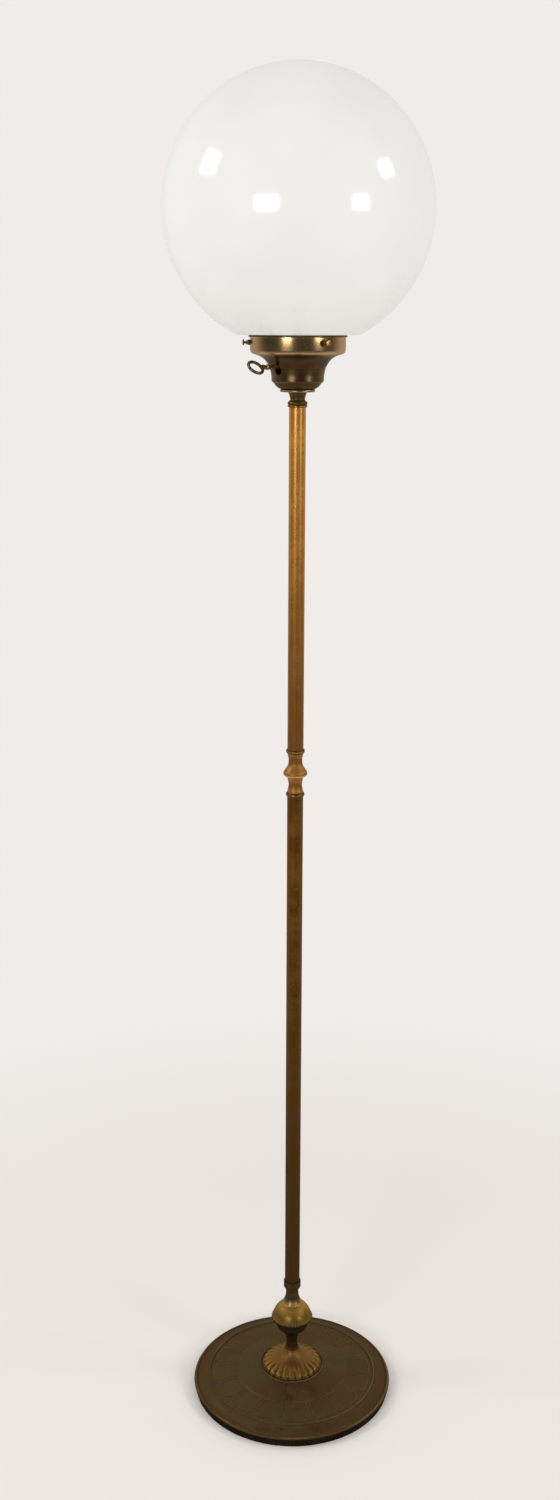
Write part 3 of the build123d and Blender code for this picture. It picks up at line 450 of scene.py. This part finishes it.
# ---------------------------------------------------------------- weight, felt and fixings
# Cast-iron weight with a felt disc under it, a washer and nut on the lamp pipe, the pipe in
# two lengths with its coupler, and the bushing in the wire hole: plain shop parts.
def plain_finish(name, light, dark, scale, roughness, metallic=0.0, relief=0.0001, **extra):
    """Even material with its own fine grain."""
    finish = bpy.data.materials.new(name)
    recipe = Recipe(finish)
    grain = recipe.noise(recipe.place(), scale, 5, 0.6)
    colour = recipe.mix(recipe.between(grain, 0.3, 0.7), light, dark)
    bump = recipe.add("ShaderNodeBump", inputs={"Strength": 0.6, "Distance": relief, "Height": grain})
    settings = {name.replace("_", " ").title(): value for name, value in extra.items()}
    surface = recipe.add("ShaderNodeBsdfPrincipled", inputs={
        "Base Color": colour, "Metallic": metallic, "Roughness": roughness + 0.15 * grain,
        "Normal": bump, **settings})
    recipe.add("ShaderNodeOutputMaterial", inputs={"Surface": surface})
    return finish


def dress(paint, *nodes):
    """Material on CAD nodes that stay as they are."""
    for name in nodes:
        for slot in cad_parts[name].material_slots:
            slot.material = paint


dress(plain_finish("cast_iron", srgb(72, 70, 68), srgb(44, 42, 41), 500, 0.7, 0.6, 0.0004), "base_weight")
dress(plain_finish("felt", srgb(52, 74, 54), srgb(30, 46, 34), 2500, 0.85, relief=0.0006, sheen_weight=0.4),
      "felt_pad")
steel = plain_finish("steel", srgb(178, 178, 174), srgb(128, 128, 126), 300, 0.32, 1.0)
dress(steel, "base_washer", "base_nut", "lower_pipe", "upper_pipe", "pipe_coupler", "key_spindle")
phenolic = plain_finish("phenolic", srgb(58, 42, 32), srgb(36, 25, 19), 900, 0.38)
dress(phenolic, "inlet_bushing", "socket_body")

# ---------------------------------------------------------------- gadrooned foot
# Cast brass dome with a plain plate and twenty-four lobes that swell outward and die out in
# the hollow throat; the lobes' ends are rubbed and carry a painted highlight, and painted shade darkens the
# valleys.
lobe_count = 24
lobe_depth = 1.5
lobes_from, lobes_full = 23.0, 9.0      # radius where a lobe starts, and its way to full depth
plate_top = 32.2
foot_outside = [
    *bead((38.2, 30.6), 0.6, -90, 0, 3),
    *bead((38.2, 31.4), 0.6, 0, 90, 3),
    *flowing([(38.0, 32.0), (38.2, 33.0), (37.4, 34.9), (34.2, 37.0), (29.6, 39.1), (24.2, 41.2),
              (18.6, 43.3), (14.6, 45.7), (11.7, 48.8), (10.1, 52.0), (9.6, 55.0)], 6),
]
foot_inside = [(pipe_hole, 55), (pipe_hole, 52.4), (7.0, 52.4), (7.0, 43), (16.7, 40.4), (30.4, 35.2),
               (34.0, 30)]
foot = turned(foot_outside + foot_inside, steps=lobe_count * 16)
for point in foot.verts:
    radius = hypot(point.co.x, point.co.y)
    if radius > lobes_from and point.co.z > plate_top and point.normal.z > 0:
        turn = lobe_count / 2 * (atan2(point.co.y, point.co.x) + pi / 2) + pi / 2
        fading = min((radius - lobes_from) / lobes_full, 1) ** 0.8
        point.co -= point.normal * lobe_depth * fading * (1 - abs(sin(turn)) ** 0.75)


def compass(recipe):
    """Compass angle of a point about the column."""
    x, y, _ = recipe.split(recipe.place())
    return recipe.add("ShaderNodeMath", {"operation": "ARCTAN2"}, {0: y, 1: x})


def lobe_wave(recipe):
    """0 in a valley between two lobes, 1 on a crest."""
    turn = (compass(recipe) + pi / 2) * (lobe_count / 2) + pi / 2
    wave = recipe.add("ShaderNodeMath", {"operation": "SINE"}, {0: turn})
    return recipe.add("ShaderNodeMath", {"operation": "ABSOLUTE"}, {0: wave})


def crest_wear_and_highlight(recipe, radius, z):
    """Rubbed and painted highlight on the outer ends of some lobes."""
    some = recipe.between(recipe.noise(recipe.place(), 60, 1), 0.40, 0.62)
    ends = recipe.between(radius, 25, 33) * recipe.between(z, 32.4, 33.8)
    return recipe.between(lobe_wave(recipe), 0.35, 1.0) * ends * some * 0.4


def valley_shade(recipe, radius, z):
    """Painted shade between the lobes."""
    return (1 - recipe.between(lobe_wave(recipe), 0.0, 0.7)) * recipe.between(radius, 26, 33) * 0.55


def red_throat(recipe, radius, z):
    """Copper red at the throat and in clouds down the dome."""
    clouds = recipe.noise(recipe.vector(radius, z, 0), 0.3)
    return recipe.between(z, 38, 46) * recipe.between(clouds, 0.3, 0.7)


cast_brass = brass("cast_brass", srgb(156, 118, 55), srgb(132, 97, 46), srgb(104, 80, 39), "cast",
                   roughness=0.42, tarnished=0.5, layers=[
                       (red_throat, srgb(148, 96, 54), 0), (valley_shade, srgb(48, 34, 14), -0.1),
                       (crest_wear_and_highlight, srgb(172, 138, 66), 0.1)])
piece("foot", foot, cast_brass, "root", "cast_brass", "gadroon_foot", sharp=40)

# ---------------------------------------------------------------- stem and cup
# One casting on the foot: a ring, a slim stem and a cup that ends in a roped bead, with a row
# of small leaf tips chased under it.
leaf_count = 20
leaf_relief = 0.45
leaf_tip, leaf_fall = 99.4, 4.2         # height of the notches, and how far the tips hang below
rope_middle, rope_radius = (25.2, 102.9), 2.1
rope_turns = 44
rope_relief = 0.16
cup_outside = [
    (pipe_hole, 55), (8.2, 55), *bead((7.7, 56.4), 1.4, -80, 80, 6), (7.2, 57.9),
    *flowing([(7.2, 58.6), (7.2, 66.0), (7.7, 70.5), (8.9, 75.5), (10.9, 79.5), (14.8, 83.2), (18.6, 87.0),
              (20.8, 91.0)], 5),
    *[(20.8 + 3.1 * t / 14 - 0.5 * sin(pi * t / 14), 91 + 9.6 * t / 14) for t in range(1, 15)],
    *bead(rope_middle, rope_radius, -100, 90, 14),
    (21.0, 105),
]
cup = turned([*cup_outside, (pipe_hole, 91)], steps=leaf_count * 20)
for point in cup.verts:
    radius, around = hypot(point.co.x, point.co.y), atan2(point.co.y, point.co.x)
    out, up = radius - rope_middle[0], point.co.z - rope_middle[1]
    if hypot(out, up) < rope_radius + 0.1:
        point.co += point.normal * rope_relief * sin(rope_turns * around + 1.6 * atan2(up, out))
    elif 20.6 < radius < 25 and 91 < point.co.z < 101:
        tip = leaf_tip - leaf_fall * abs(sin(leaf_count / 2 * around)) ** 0.7
        point.co += point.normal * leaf_relief * min(max((point.co.z - tip) / 0.9, 0), 1)


def rope_wear_and_highlight(recipe, radius, z):
    """Rubbed and painted highlight on the strands along the bead's top, and on the ring at the stem's foot.
    """
    strands = recipe.add("ShaderNodeMath", {"operation": "SINE"}, {0: compass(recipe) * rope_turns})
    rope = recipe.between(z, 103.9, 104.8) * recipe.between(radius, 23.4, 24.6) * (0.42 + 0.38 * strands)
    ring = recipe.between(radius, 8.5, 9.1) * (1 - recipe.between(z, 57.5, 59)) * 0.1
    return rope + ring


def red_stem(recipe, radius, z):
    """Copper red at the stem's foot."""
    return (1 - recipe.between(z, 57, 66)) * 0.6


cup_brass = brass("cup_brass", srgb(82, 66, 34), srgb(56, 45, 24), srgb(42, 40, 22), "cast",
                  roughness=0.36, tarnished=0.6, layers=[
                      (red_stem, srgb(84, 46, 28), 0), (rope_wear_and_highlight, srgb(190, 164, 100), 0.1)])
piece("stem_and_cup", cup, cup_brass, "root", "cast_brass", "stem_cup", sharp=40)

# ---------------------------------------------------------------- ball and flared collar
# Spun upper half of the ball on the cup, and the collar that flares down onto it like a bell;
# both have an olive bloom, with painted shade towards the ball's edge and a painted highlight on
# the collar's flare and lip.
ball_middle, ball_radius, ball_wall = 100.2, 26.2, 1.5
ball_foot = 105 - ball_middle
ball_edge = degrees(atan2(ball_foot, sqrt(ball_radius ** 2 - ball_foot ** 2)))
ball_outline = [*bead((0, ball_middle), ball_radius, ball_edge, 72.2, 28),
                *bead((0, ball_middle), ball_radius - ball_wall, 71.1, ball_edge + 0.6, 28)]


def bloom_and_edge_shade(recipe, radius, z):
    """Olive bloom and painted shade towards the ball's edge."""
    return recipe.between(radius, 16, 26) * 0.75


ball_brass = brass("ball_brass", srgb(192, 146, 65), srgb(176, 131, 56), srgb(134, 105, 45), "turned",
                   roughness=0.36, tarnished=0.48, layers=[(bloom_and_edge_shade, srgb(82, 70, 36), 0)])
piece("ball", turned(ball_outline), ball_brass, "root", "ball_brass", "ball_top")

collar_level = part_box("lower_ferrule")[0].z * millimetres
collar_outline = [
    *bead((0, ball_middle), ball_radius + 0.06, 72.6, 60.8, 4),
    *bead((12.0, collar_level - 23.6), 1.1, -70, 70, 6),
    *flowing([(12.0, collar_level - 21.6), (10.2, collar_level - 18.2), (8.9, collar_level - 14.2),
              (8.3, collar_level - 8.1), (8.6, collar_level - 2.1), (9.2, collar_level)], 5),
    (pipe_hole, collar_level), (pipe_hole, ball_middle + 21.9), (7.75, ball_middle + 21.9),
]


def flare_highlight(recipe, radius, z):
    """Painted highlight: lighter towards the flare's foot and bright on the lip that lies on the ball."""
    flare = 1 - recipe.between(z, collar_level - 22, collar_level - 15)
    return flare * 0.55 + recipe.between(radius, 12.3, 13.0) * 0.35


collar_brass = brass("collar_brass", srgb(84, 64, 36), srgb(70, 53, 30), srgb(54, 45, 26), "turned",
                     roughness=0.32, tarnished=0.45, layers=[(flare_highlight, srgb(196, 162, 100), 0.04)])
piece("collar", turned(collar_outline), collar_brass, "root", "ball_brass", "flared_collar")


# ---------------------------------------------------------------- rings
# Small turned rings and the ferrule, pushed on the tubes' ends; each ring has a painted highlight
# where it is widest and painted shade in its corners.
def ring_highlight(recipe, radius, z):
    """Painted highlight where the ring is widest."""
    return recipe.between(radius, 11.26, 11.4) * 0.6


def ring_corner_shade(recipe, radius, z):
    """Painted shade in the corners where the ring meets its neighbours."""
    return (1 - recipe.between(radius, 9.9, 10.6)) * 0.85


ring_brass = brass("ring_brass", srgb(128, 90, 46), srgb(104, 72, 36), srgb(72, 50, 26), "turned",
                   roughness=0.32, tarnished=0.4, layers=[
                       (ring_highlight, srgb(196, 162, 106), 0.06), (ring_corner_shade, srgb(34, 23, 12), -0.1)])
ferrule_brass = brass("ferrule_brass", srgb(84, 62, 32), srgb(72, 53, 27), srgb(50, 40, 22), "turned",
                      roughness=0.34, tarnished=0.5)
ferrule_outline = [
    (pipe_hole, collar_level), *bead((10.6, collar_level + 0.6), 0.6, -90, 0, 3),
    *bead((10.6, collar_level + 8.9), 0.6, 0, 90, 3), (9.8, collar_level + 9.5), (9.8, collar_level + 1.5),
    (pipe_hole, collar_level + 1.5),
]
piece("ferrule", turned(ferrule_outline, steps=96), ferrule_brass, "root", "turned_brass", "lower_ferrule")
spigot_bore, spigot_radius, spigot_length = 7.4, 8.6, 5
ring_waist, ring_swell = 10.1, 1.3
spigots = {"lower_check_ring": -1, "upper_check_ring": 1, "top_ring": -1}      # -1 points down
for name, spigot in spigots.items():
    low, high = (corner.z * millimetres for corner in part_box(name))
    foot_of_ring, head_of_ring = (low + spigot_length, high) if spigot < 0 else (low, high - spigot_length)
    middle = (foot_of_ring + head_of_ring) / 2
    half = (head_of_ring - foot_of_ring) / 2
    far, near = (low, foot_of_ring) if spigot < 0 else (high, head_of_ring)
    bulge = [(ring_waist + ring_swell * cos(radians(a)), middle + half * sin(radians(a)))
             for a in range(-90, 91, 15)]
    inner = [(spigot_bore, head_of_ring), (spigot_bore, far), (spigot_radius, far), (spigot_radius, near)]
    if spigot > 0:
        inner = [(spigot_radius, near), (spigot_radius, far), (spigot_bore, far), (spigot_bore, foot_of_ring)]
    piece(name + "_turned", turned(bulge + inner, steps=96), ring_brass, "root", "turned_brass", name)


# ---------------------------------------------------------------- tubes
# Drawn brass tube in two lengths. The lacquer has gone amber on the upper one and dark brown on
# the lower one, in streaks along the tube.
tube_bore, tube_radius = 8.85, 9.75


def tube_outline(name):
    """Outline of a plain tube from the foot to the head of its CAD node."""
    low, high = (corner.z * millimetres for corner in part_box(name))
    return [(tube_bore, low), (tube_radius, low), (tube_radius, high), (tube_bore, high)]


def towards_head(name, most):
    """Mask that grows up a tube, from none at its foot to the given share at its head."""
    low, high = (corner.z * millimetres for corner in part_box(name))
    return lambda recipe, radius, z: recipe.between(z, low, high) * most


# Each tube is painted lighter towards its head.
amber_brass = brass("amber_brass", srgb(150, 98, 36), srgb(126, 80, 26), srgb(108, 70, 24), "drawn",
                    roughness=0.25, tarnished=0.42, bare=0.6,
                    layers=[(towards_head("upper_tube", 0.9), srgb(206, 146, 66), 0.04)])
brown_brass = brass("brown_brass", srgb(74, 51, 12), srgb(64, 44, 8), srgb(56, 40, 10), "drawn",
                    roughness=0.36, tarnished=0.5, bare=0.85,
                    layers=[(towards_head("lower_tube", 0.85), srgb(124, 82, 28), 0)])
for length, paint in {"upper": amber_brass, "lower": brown_brass}.items():
    tube = turned(tube_outline(length + "_tube"), steps=96)
    piece("tube_" + length, tube, paint, "root", "tube_brass", length + "_tube")

# ---------------------------------------------------------------- turned break
# Turned brass between the two tubes: waisted neck, full bead and a long tapering shoulder,
# amber like the upper tube, with dark tool marks and pits, a rubbed and painted highlight on the
# bead's lower lip and painted shade in the waists.
break_level, break_top = (corner.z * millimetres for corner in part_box("column_break"))


def raised(level, *points):
    """Outline points whose heights are counted from a level."""
    return [(radius, level + height) for radius, height in points]


break_outline = [
    *flowing([*raised(break_level, (9.6, 0), (9.7, 1.6), (9.0, 4.8), (8.2, 8.8), (8.2, 11.3), (9.0, 15.3),
                      (9.7, 18.8), (12.6, 20.8), (14.3, 22.7), (14.6, 24.8), (14.2, 26.4), (12.6, 28.9),
                      (10.8, 31.4), (9.3, 34.4), (8.6, 36.9), (8.3, 40.4), (8.4, 43.4), (9.4, 47.4),
                      (9.7, 49.2)), (9.6, break_top)]),
    (6.6, break_top), (6.6, break_level),
]


def bead_lip_wear_and_highlight(recipe, radius, z):
    """Rubbed and painted highlight on the bead's lower lip."""
    above = recipe.between(z, break_level + 22.5, break_level + 24.2)
    return recipe.between(radius, 12.2, 14.0) * (1 - above) * 0.7


def waist_shade(recipe, radius, z):
    """Painted shade, dark brown, in both waists."""
    return (1 - recipe.between(radius, 8.2, 9.3)) * 0.5


break_brass = brass("break_brass", srgb(178, 126, 60), srgb(152, 102, 44), srgb(110, 74, 34), "turned",
                    roughness=0.42, tarnished=0.45, pits=0.05, bare=0.6, layers=[
                        (bead_lip_wear_and_highlight, srgb(226, 182, 112), 0.1), (waist_shade, srgb(78, 50, 20), 0)])
piece("break", turned(break_outline, steps=128), break_brass, "root", "turned_brass", "column_break")

# ---------------------------------------------------------------- neck and disc
# Turned neck on the upper tube's ring, and the thin disc that spreads the gallery's load.
neck_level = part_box("turned_neck")[0].z * millimetres
disc_level, gallery_level = (corner.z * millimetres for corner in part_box("seat_disc"))
neck_outline = [
    (pipe_hole, neck_level),
    *flowing([*raised(neck_level, (10.4, 0), (11.3, 0.9), (11.4, 2.4), (10.3, 3.8), (8.7, 5.2), (8.5, 6.6),
                      (8.8, 8.0), (9.3, 8.5), (9.1, 9.1), (9.4, 10.6), (10.3, 12.6)), (11.2, disc_level)]),
    (pipe_hole, disc_level),
]
neck_brass = brass("neck_brass", srgb(134, 100, 56), srgb(112, 82, 44), srgb(74, 56, 32), "turned",
                   roughness=0.28, tarnished=0.45)
piece("neck", turned(neck_outline, steps=96), neck_brass, "root", "turned_brass", "turned_neck")
disc_outline = [
    (pipe_hole, disc_level), *bead((19.1, disc_level + 1.1), 1.1, -90, 0, 4),
    *bead((19.1, gallery_level - 1.1), 1.1, 0, 90, 4),
    (pipe_hole, gallery_level),
]
disc_brass = brass("disc_brass", srgb(196, 176, 146), srgb(150, 130, 100), srgb(104, 84, 58), "turned",
                   roughness=0.26, tarnished=0.35)
piece("disc", turned(disc_outline, steps=128), disc_brass, "root", "turned_brass", "seat_disc")

# ---------------------------------------------------------------- gallery
# One spinning of thin brass that holds the globe: floor, round step, tapering cup, bell,
# upright band and a rolled rim. Satin brown with fine spinning lines, a dark painted reflection on
# the bell, cup and step, painted shadow on the rim and a painted highlight under it.
spun_wall = 0.9
rim_level = gallery_level + 60
band_radius, rim_radius = 54.5, 1.1
gallery_outside = [
    (pipe_hole, gallery_level),
    *flowing(raised(gallery_level, (17.0, 0), (19.0, 0.1), (20.9, 0.9), (23.6, 2.6), (25.8, 4.9), (27.0, 6.6),
                    (28.2, 7.8), (29.4, 8.6), (29.9, 9.7), (30.0, 11.6), (30.3, 16.4), (31.4, 21.6),
                    (32.2, 24.4), (34.4, 28.4), (38.0, 33.2), (42.6, 36.4), (47.2, 38.2), (51.4, 39.6),
                    (53.6, 41.4), (band_radius, 43.8)), 5),
    (band_radius, rim_level - 2 * rim_radius),
]
rim_outline = bead((55.3, rim_level - rim_radius), rim_radius, 0, 360, 16)[:-1]
gallery = together(turned(walled(gallery_outside, spun_wall), steps=256), turned(rim_outline, steps=256))

# The punch for the slot that lets the key's rod through.
key_angle = -136.0
slot_level = gallery_level + 22.4
slot_radius, slot_stretch = 5.0, 0.5
punch_from, punch_length = 22, 40
punch = bmesh.new()
bmesh.ops.create_circle(punch, cap_ends=True, segments=32, radius=slot_radius)
for point in punch.verts:
    point.co.y += slot_stretch if point.co.y > 0 else -slot_stretch
walls = bmesh.ops.extrude_face_region(punch, geom=punch.faces[:])
bmesh.ops.translate(punch, vec=(0, 0, punch_length),
                    verts=[part for part in walls["geom"] if isinstance(part, bmesh.types.BMVert)])
bmesh.ops.recalc_face_normals(punch, faces=punch.faces)


def radial(angle, height, reach=0.0):
    """Matrix from a piece drawn up the Z axis to one that points outward at a compass angle."""
    a = radians(angle)
    frame_of_piece = Matrix(((-sin(a), cos(a), 0), (0, 0, 1), (cos(a), sin(a), 0))).transposed().to_4x4()
    return Matrix.Translation((0, 0, height)) @ frame_of_piece @ Matrix.Translation((0, 0, reach))


def pierced(shape, cutter):
    """The shape with the cutter's volume taken out of it."""
    meshes = []
    for source in (shape, cutter):
        mesh = bpy.data.meshes.new("carrier")
        source.to_mesh(mesh)
        source.free()
        meshes.append(mesh)
    body, tool = (bpy.data.objects.new("carrier", mesh) for mesh in meshes)
    for carrier in (body, tool):
        bpy.context.scene.collection.objects.link(carrier)
    cut = body.modifiers.new("cut", "BOOLEAN")
    cut.operation = "DIFFERENCE"
    cut.solver = "EXACT"
    cut.object = tool
    bpy.context.view_layer.update()
    result = bpy.data.meshes.new_from_object(body.evaluated_get(bpy.context.evaluated_depsgraph_get()))
    made = bmesh.new()
    made.from_mesh(result)
    for carrier in (body, tool):
        bpy.data.objects.remove(carrier)
    for mesh in (*meshes, result):
        bpy.data.meshes.remove(mesh)
    return made


bmesh.ops.transform(punch, matrix=radial(key_angle, slot_level, punch_from), verts=punch.verts)
gallery = pierced(gallery, punch)


def rim_shadow(recipe, radius, z):
    """Painted shadow on the rolled rim, under the globe."""
    return recipe.between(radius, 55.0, 55.8) * 0.75


def rim_highlight(recipe, radius, z):
    """Painted highlight: a thin pale line under the rim."""
    over = recipe.between(z, rim_level - 2.3, rim_level - 1.9)
    return recipe.between(z, rim_level - 3.4, rim_level - 2.8) * (1 - over) * 0.5


def bell_dark_reflection(recipe, radius, z):
    """Painted reflection: dark brown on the bell, the cup and the step, for the dim room in front that they
    mirror.
    """
    bell = recipe.between(z, gallery_level + 20, gallery_level + 28)
    step = 1 - recipe.between(z, gallery_level + 7, gallery_level + 10)
    band = recipe.between(z, gallery_level + 37, gallery_level + 41.5)
    return (1 - band) * (0.74 + 0.2 * bell + 0.2 * step)


spun_brass = brass("spun_brass", srgb(204, 170, 124), srgb(180, 144, 98), srgb(146, 110, 68), "turned",
                   roughness=0.22, tarnished=0.12, relief=0.000025, spun=0.55, layers=[
                       (bell_dark_reflection, srgb(66, 49, 24), -0.11), (rim_shadow, srgb(58, 44, 26), 0),
                       (rim_highlight, srgb(224, 204, 168), 0)])
piece("gallery_spun", gallery, spun_brass, "root", "spun_brass", "gallery")

# ---------------------------------------------------------------- bosses and thumbscrews
# Three turned bosses riveted in the band, each with its thumbscrew: plain shank, shoulder,
# slim waist and a small flat head.
screw_level = gallery_level + 52
screw_angles = {"thumbscrew_left": -177.0, "thumbscrew_right": -57.0, "thumbscrew_back": 63.0}
screw_brass = brass("screw_brass", srgb(206, 168, 104), srgb(166, 126, 70), srgb(104, 78, 44), "cast",
                    roughness=0.24, tarnished=0.3)
bronzed_screw = brass("bronzed_screw", srgb(128, 122, 92), srgb(98, 92, 66), srgb(70, 66, 46), "cast",
                      roughness=0.28, tarnished=0.4)
bosses = []
for name, angle in screw_angles.items():
    boss = turned([(1.6, 53.7), (2.3, 53.7), (2.3, 54.5), *bead((2.5, 55.0), 0.5, -90, 0, 3),
                   *bead((2.2, 56.4), 0.8, 0, 90, 4), (1.6, 57.2)], steps=32)
    bmesh.ops.transform(boss, matrix=radial(angle, screw_level), verts=boss.verts)
    bosses.append(boss)
    screw = turned([
        (0, 51.1), (1.1, 51.1), (1.5, 51.6), (1.5, 57.5), *bead((2.2, 57.9), 0.4, -90, 0, 3),
        *bead((2.2, 58.1), 0.4, 0, 90, 3), *curve((1.6, 58.6), (1.3, 59.2), (1.3, 60.4), (1.6, 61.1), 6),
        *bead((2.8, 61.7), 0.6, -90, 0, 4), *bead((2.6, 62.1), 0.8, 0, 90, 5), (0, 62.9)], steps=40)
    bmesh.ops.transform(screw, matrix=radial(angle, screw_level), verts=screw.verts)
    paint = bronzed_screw if name == "thumbscrew_left" else screw_brass
    piece(name + "_turned", screw, paint, name, "turned_brass", name)
piece("bosses", together(*bosses), neck_brass, "root", "turned_brass", "screw_bosses")

# ---------------------------------------------------------------- globe
# Blown opal glass with a glossy skin: a full ball, a flattened shoulder over the gallery's rim
# and a straight neck between the three screws.
globe_radius, glass_neck_radius, glass_wall = 152.4, 50.8, 2.2
neck_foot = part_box("globe_neck")[0].z * millimetres
shoulder = neck_foot + 17
middle_rise = 135.4             # of the ball's middle above the shoulder
globe_middle = shoulder + middle_rise
turn_in = 9.0                   # radius of the bend from ball to shoulder
turn_in_middle = (sqrt((globe_radius - turn_in) ** 2 - (middle_rise - turn_in) ** 2), shoulder + turn_in)
tangent = degrees(atan2(turn_in - middle_rise, turn_in_middle[0]))
globe_outline = [
    (glass_neck_radius - glass_wall, neck_foot), (glass_neck_radius, neck_foot),
    *bead((52.0, shoulder - 1.2), 1.2, 180, 90, 5),
    *bead(turn_in_middle, turn_in, -90, tangent, 8),
    *bead((0, globe_middle), globe_radius, tangent, 90, 90),
    *bead((0, globe_middle), globe_radius - glass_wall, 90, tangent, 90),
    *bead(turn_in_middle, turn_in - glass_wall, tangent, -90, 8),
    *bead((52.0, shoulder - 1.2), 3.4, 90, 180, 5),
]
opal = bpy.data.materials.new("opal_glass")
milk = Recipe(opal)
cloud = milk.noise(milk.place(), 5, 3)
opal_colour = milk.mix(milk.between(cloud, 0.3, 0.7), srgb(243, 244, 243), srgb(239, 240, 239))
ripple = milk.add("ShaderNodeBump", inputs={
    "Strength": 0.25, "Distance": 0.0006, "Height": milk.noise(milk.place(), 14, 2)})
skin = milk.add("ShaderNodeBsdfPrincipled", inputs={
    "Base Color": opal_colour, "Roughness": 0.10 + 0.05 * cloud, "IOR": 1.5, "Normal": ripple})
milk.add("ShaderNodeOutputMaterial", inputs={"Surface": skin})
piece("globe_blown", turned(globe_outline), opal, "globe", "opal_glass", "globe", "globe_neck", sharp=50)

# ---------------------------------------------------------------- turn key
# Brass rod with a small collar and a wire ring brazed on its end; the rod's blind end fits over
# the switch spindle.
key_level = gallery_level + 25.4
ring_middle, ring_radius, wire_radius = 65.2, 8.8, 1.75
ring_tilt = radians(48)
stem_outline = [
    (0, 24.5), (1.65, 24.5), (1.65, 20.5), *bead((1.9, 20.9), 0.4, -90, 0, 3), (2.3, 36.0), (2.5, 37.0),
    (2.5, 46.0), *bead((2.3, 47.6), 1.0, -70, 70, 6), (2.1, 48.9), (2.3, 50.4),
    *bead((2.0, 54.0), 1.2, 0, 90, 5), (0, 55.2),
]
stem = turned(stem_outline, steps=48)
ring = turned(bead((ring_radius, 0), wire_radius, 0, 360, 16)[:-1], steps=96)
ring_axis = Vector((-cos(ring_tilt), -sin(ring_tilt), 0))
lay = Vector((0, 0, 1)).rotation_difference(ring_axis).to_matrix().to_4x4()
bmesh.ops.transform(ring, matrix=Matrix.Translation((0, 0, ring_middle)) @ lay, verts=ring.verts)
key = together(stem, ring)
bmesh.ops.transform(key, matrix=radial(key_angle, key_level), verts=key.verts)


def stem_wear(recipe, radius, z):
    """Clean amber brass on the rod, next to the browned ring."""
    return (1 - recipe.between(radius, 50, 56)) * 0.75


key_brass = brass("key_brass", srgb(134, 118, 84), srgb(98, 86, 60), srgb(72, 64, 44), "cast",
                  roughness=0.28, tarnished=0.45, layers=[(stem_wear, srgb(196, 152, 94), 0)])
piece("key_and_ring", key, key_brass, "key", "turned_brass", "key")

# ---------------------------------------------------------------- lampholder
# Pressed brass cap and shell round the moulded switch body, with a card liner, the threaded
# brass shell for the bulb and the contacts.
holder_brass = brass("holder_brass", srgb(206, 172, 104), srgb(176, 138, 74), srgb(130, 98, 52), "turned",
                     roughness=0.26, tarnished=0.25)
hub_level = gallery_level + spun_wall
cap_floor, cap_rim = hub_level + 7.5, hub_level + 17
cap_outline = [
    (4.85, hub_level), (6.4, hub_level), (7.0, hub_level + 0.6), (7.0, cap_floor),
    *bead((13.5, cap_floor + 3.5), 3.5, -90, 0, 6), (17.0, cap_floor + 8.6), (17.0, cap_rim),
    (16.3, cap_rim), (16.3, cap_floor + 4.2), *bead((12.8, cap_floor + 4.2), 3.5, 0, -90, 6),
    (4.85, cap_floor + 0.7),
]
piece("holder_cap", turned(cap_outline, steps=96), holder_brass, "root", "holder_brass", "socket_cap")
dress(plain_finish("fibre_card", srgb(150, 118, 84), srgb(118, 90, 62), 1200, 0.8), "socket_liner")
dress(holder_brass, "socket_shell", "terminal_screws", "centre_contact", "bulb_contact")

shell_foot, shell_head = (corner.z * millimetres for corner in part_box("screw_shell"))
shell_radius, shell_wall = 13.6, 0.3
thread_pitch, thread_depth, thread_runout = 3.63, 0.35, 1.2


def rolled_thread(crest, foot, head, points):
    """Outline of a rolled thread above a foot, cut off below a head."""
    turns = [(step / 10, foot + thread_runout + thread_pitch * step / 10) for step in range(points)]
    return [(crest - thread_depth * (0.5 + 0.5 * cos(2 * pi * turn)), height) for turn, height in turns
            if height < head]


shell_outside = [(7.0, shell_foot), (13.0, shell_foot),
                 *rolled_thread(shell_radius, shell_foot, shell_head - 1, 54), (shell_radius, shell_head)]
piece("screw_shell_rolled", turned(walled(shell_outside, shell_wall), steps=96), holder_brass, "root",
      "holder_brass", "screw_shell")

# ---------------------------------------------------------------- bulb
# Plain frosted bulb in a rolled aluminium cap, with a black glass insulator round its contact.
cap_low, cap_high = (corner.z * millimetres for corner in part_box("bulb_cap"))
cap_radius, cap_wall = 12.9, 0.35
bulb_cap_outside = [
    (2.0, cap_low), (9.5, cap_low), (12.2, cap_low + 0.8),
    *rolled_thread(cap_radius, cap_low, cap_high - 2, 48), (cap_radius, cap_high - 1), (cap_radius, cap_high),
]
aluminium = plain_finish("bulb_aluminium", srgb(214, 214, 212), srgb(184, 184, 182), 400, 0.28, 1.0)
piece("bulb_cap_rolled", turned(walled(bulb_cap_outside, cap_wall), steps=96), aluminium, "bulb",
      "bulb_aluminium", "bulb_cap")
dress(plain_finish("black_glass", srgb(30, 30, 34), srgb(18, 18, 20), 300, 0.12), "bulb_insulator")
glass_foot, glass_head = (corner.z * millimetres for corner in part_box("bulb_glass"))
bulb_radius, bulb_inside = 30, 29
stem_radius, stem_inside = 12.2, 11.3
pull = 27                       # of the curve from stem to bulb
bulb_widest = glass_head - bulb_radius
bulb_outline = [
    (stem_inside, glass_foot), (stem_radius, glass_foot), (stem_radius, cap_high - 0.6),
    *curve((stem_radius, cap_high + 0.6), (stem_radius, cap_high + pull),
           (bulb_radius, bulb_widest - pull), (bulb_radius, bulb_widest), 24),
    *bead((0, bulb_widest), bulb_radius, 0, 90, 24), *bead((0, bulb_widest), bulb_inside, 90, 0, 24),
    *curve((bulb_inside, bulb_widest), (bulb_inside, bulb_widest - pull),
           (stem_inside, cap_high + pull), (stem_inside, cap_high + 0.6), 24),
]
frosted = plain_finish("bulb_glass", srgb(240, 239, 234), srgb(230, 229, 224), 60, 0.35)
piece("bulb_blown", turned(bulb_outline, steps=96), frosted, "bulb", "bulb_glass", "bulb_glass")
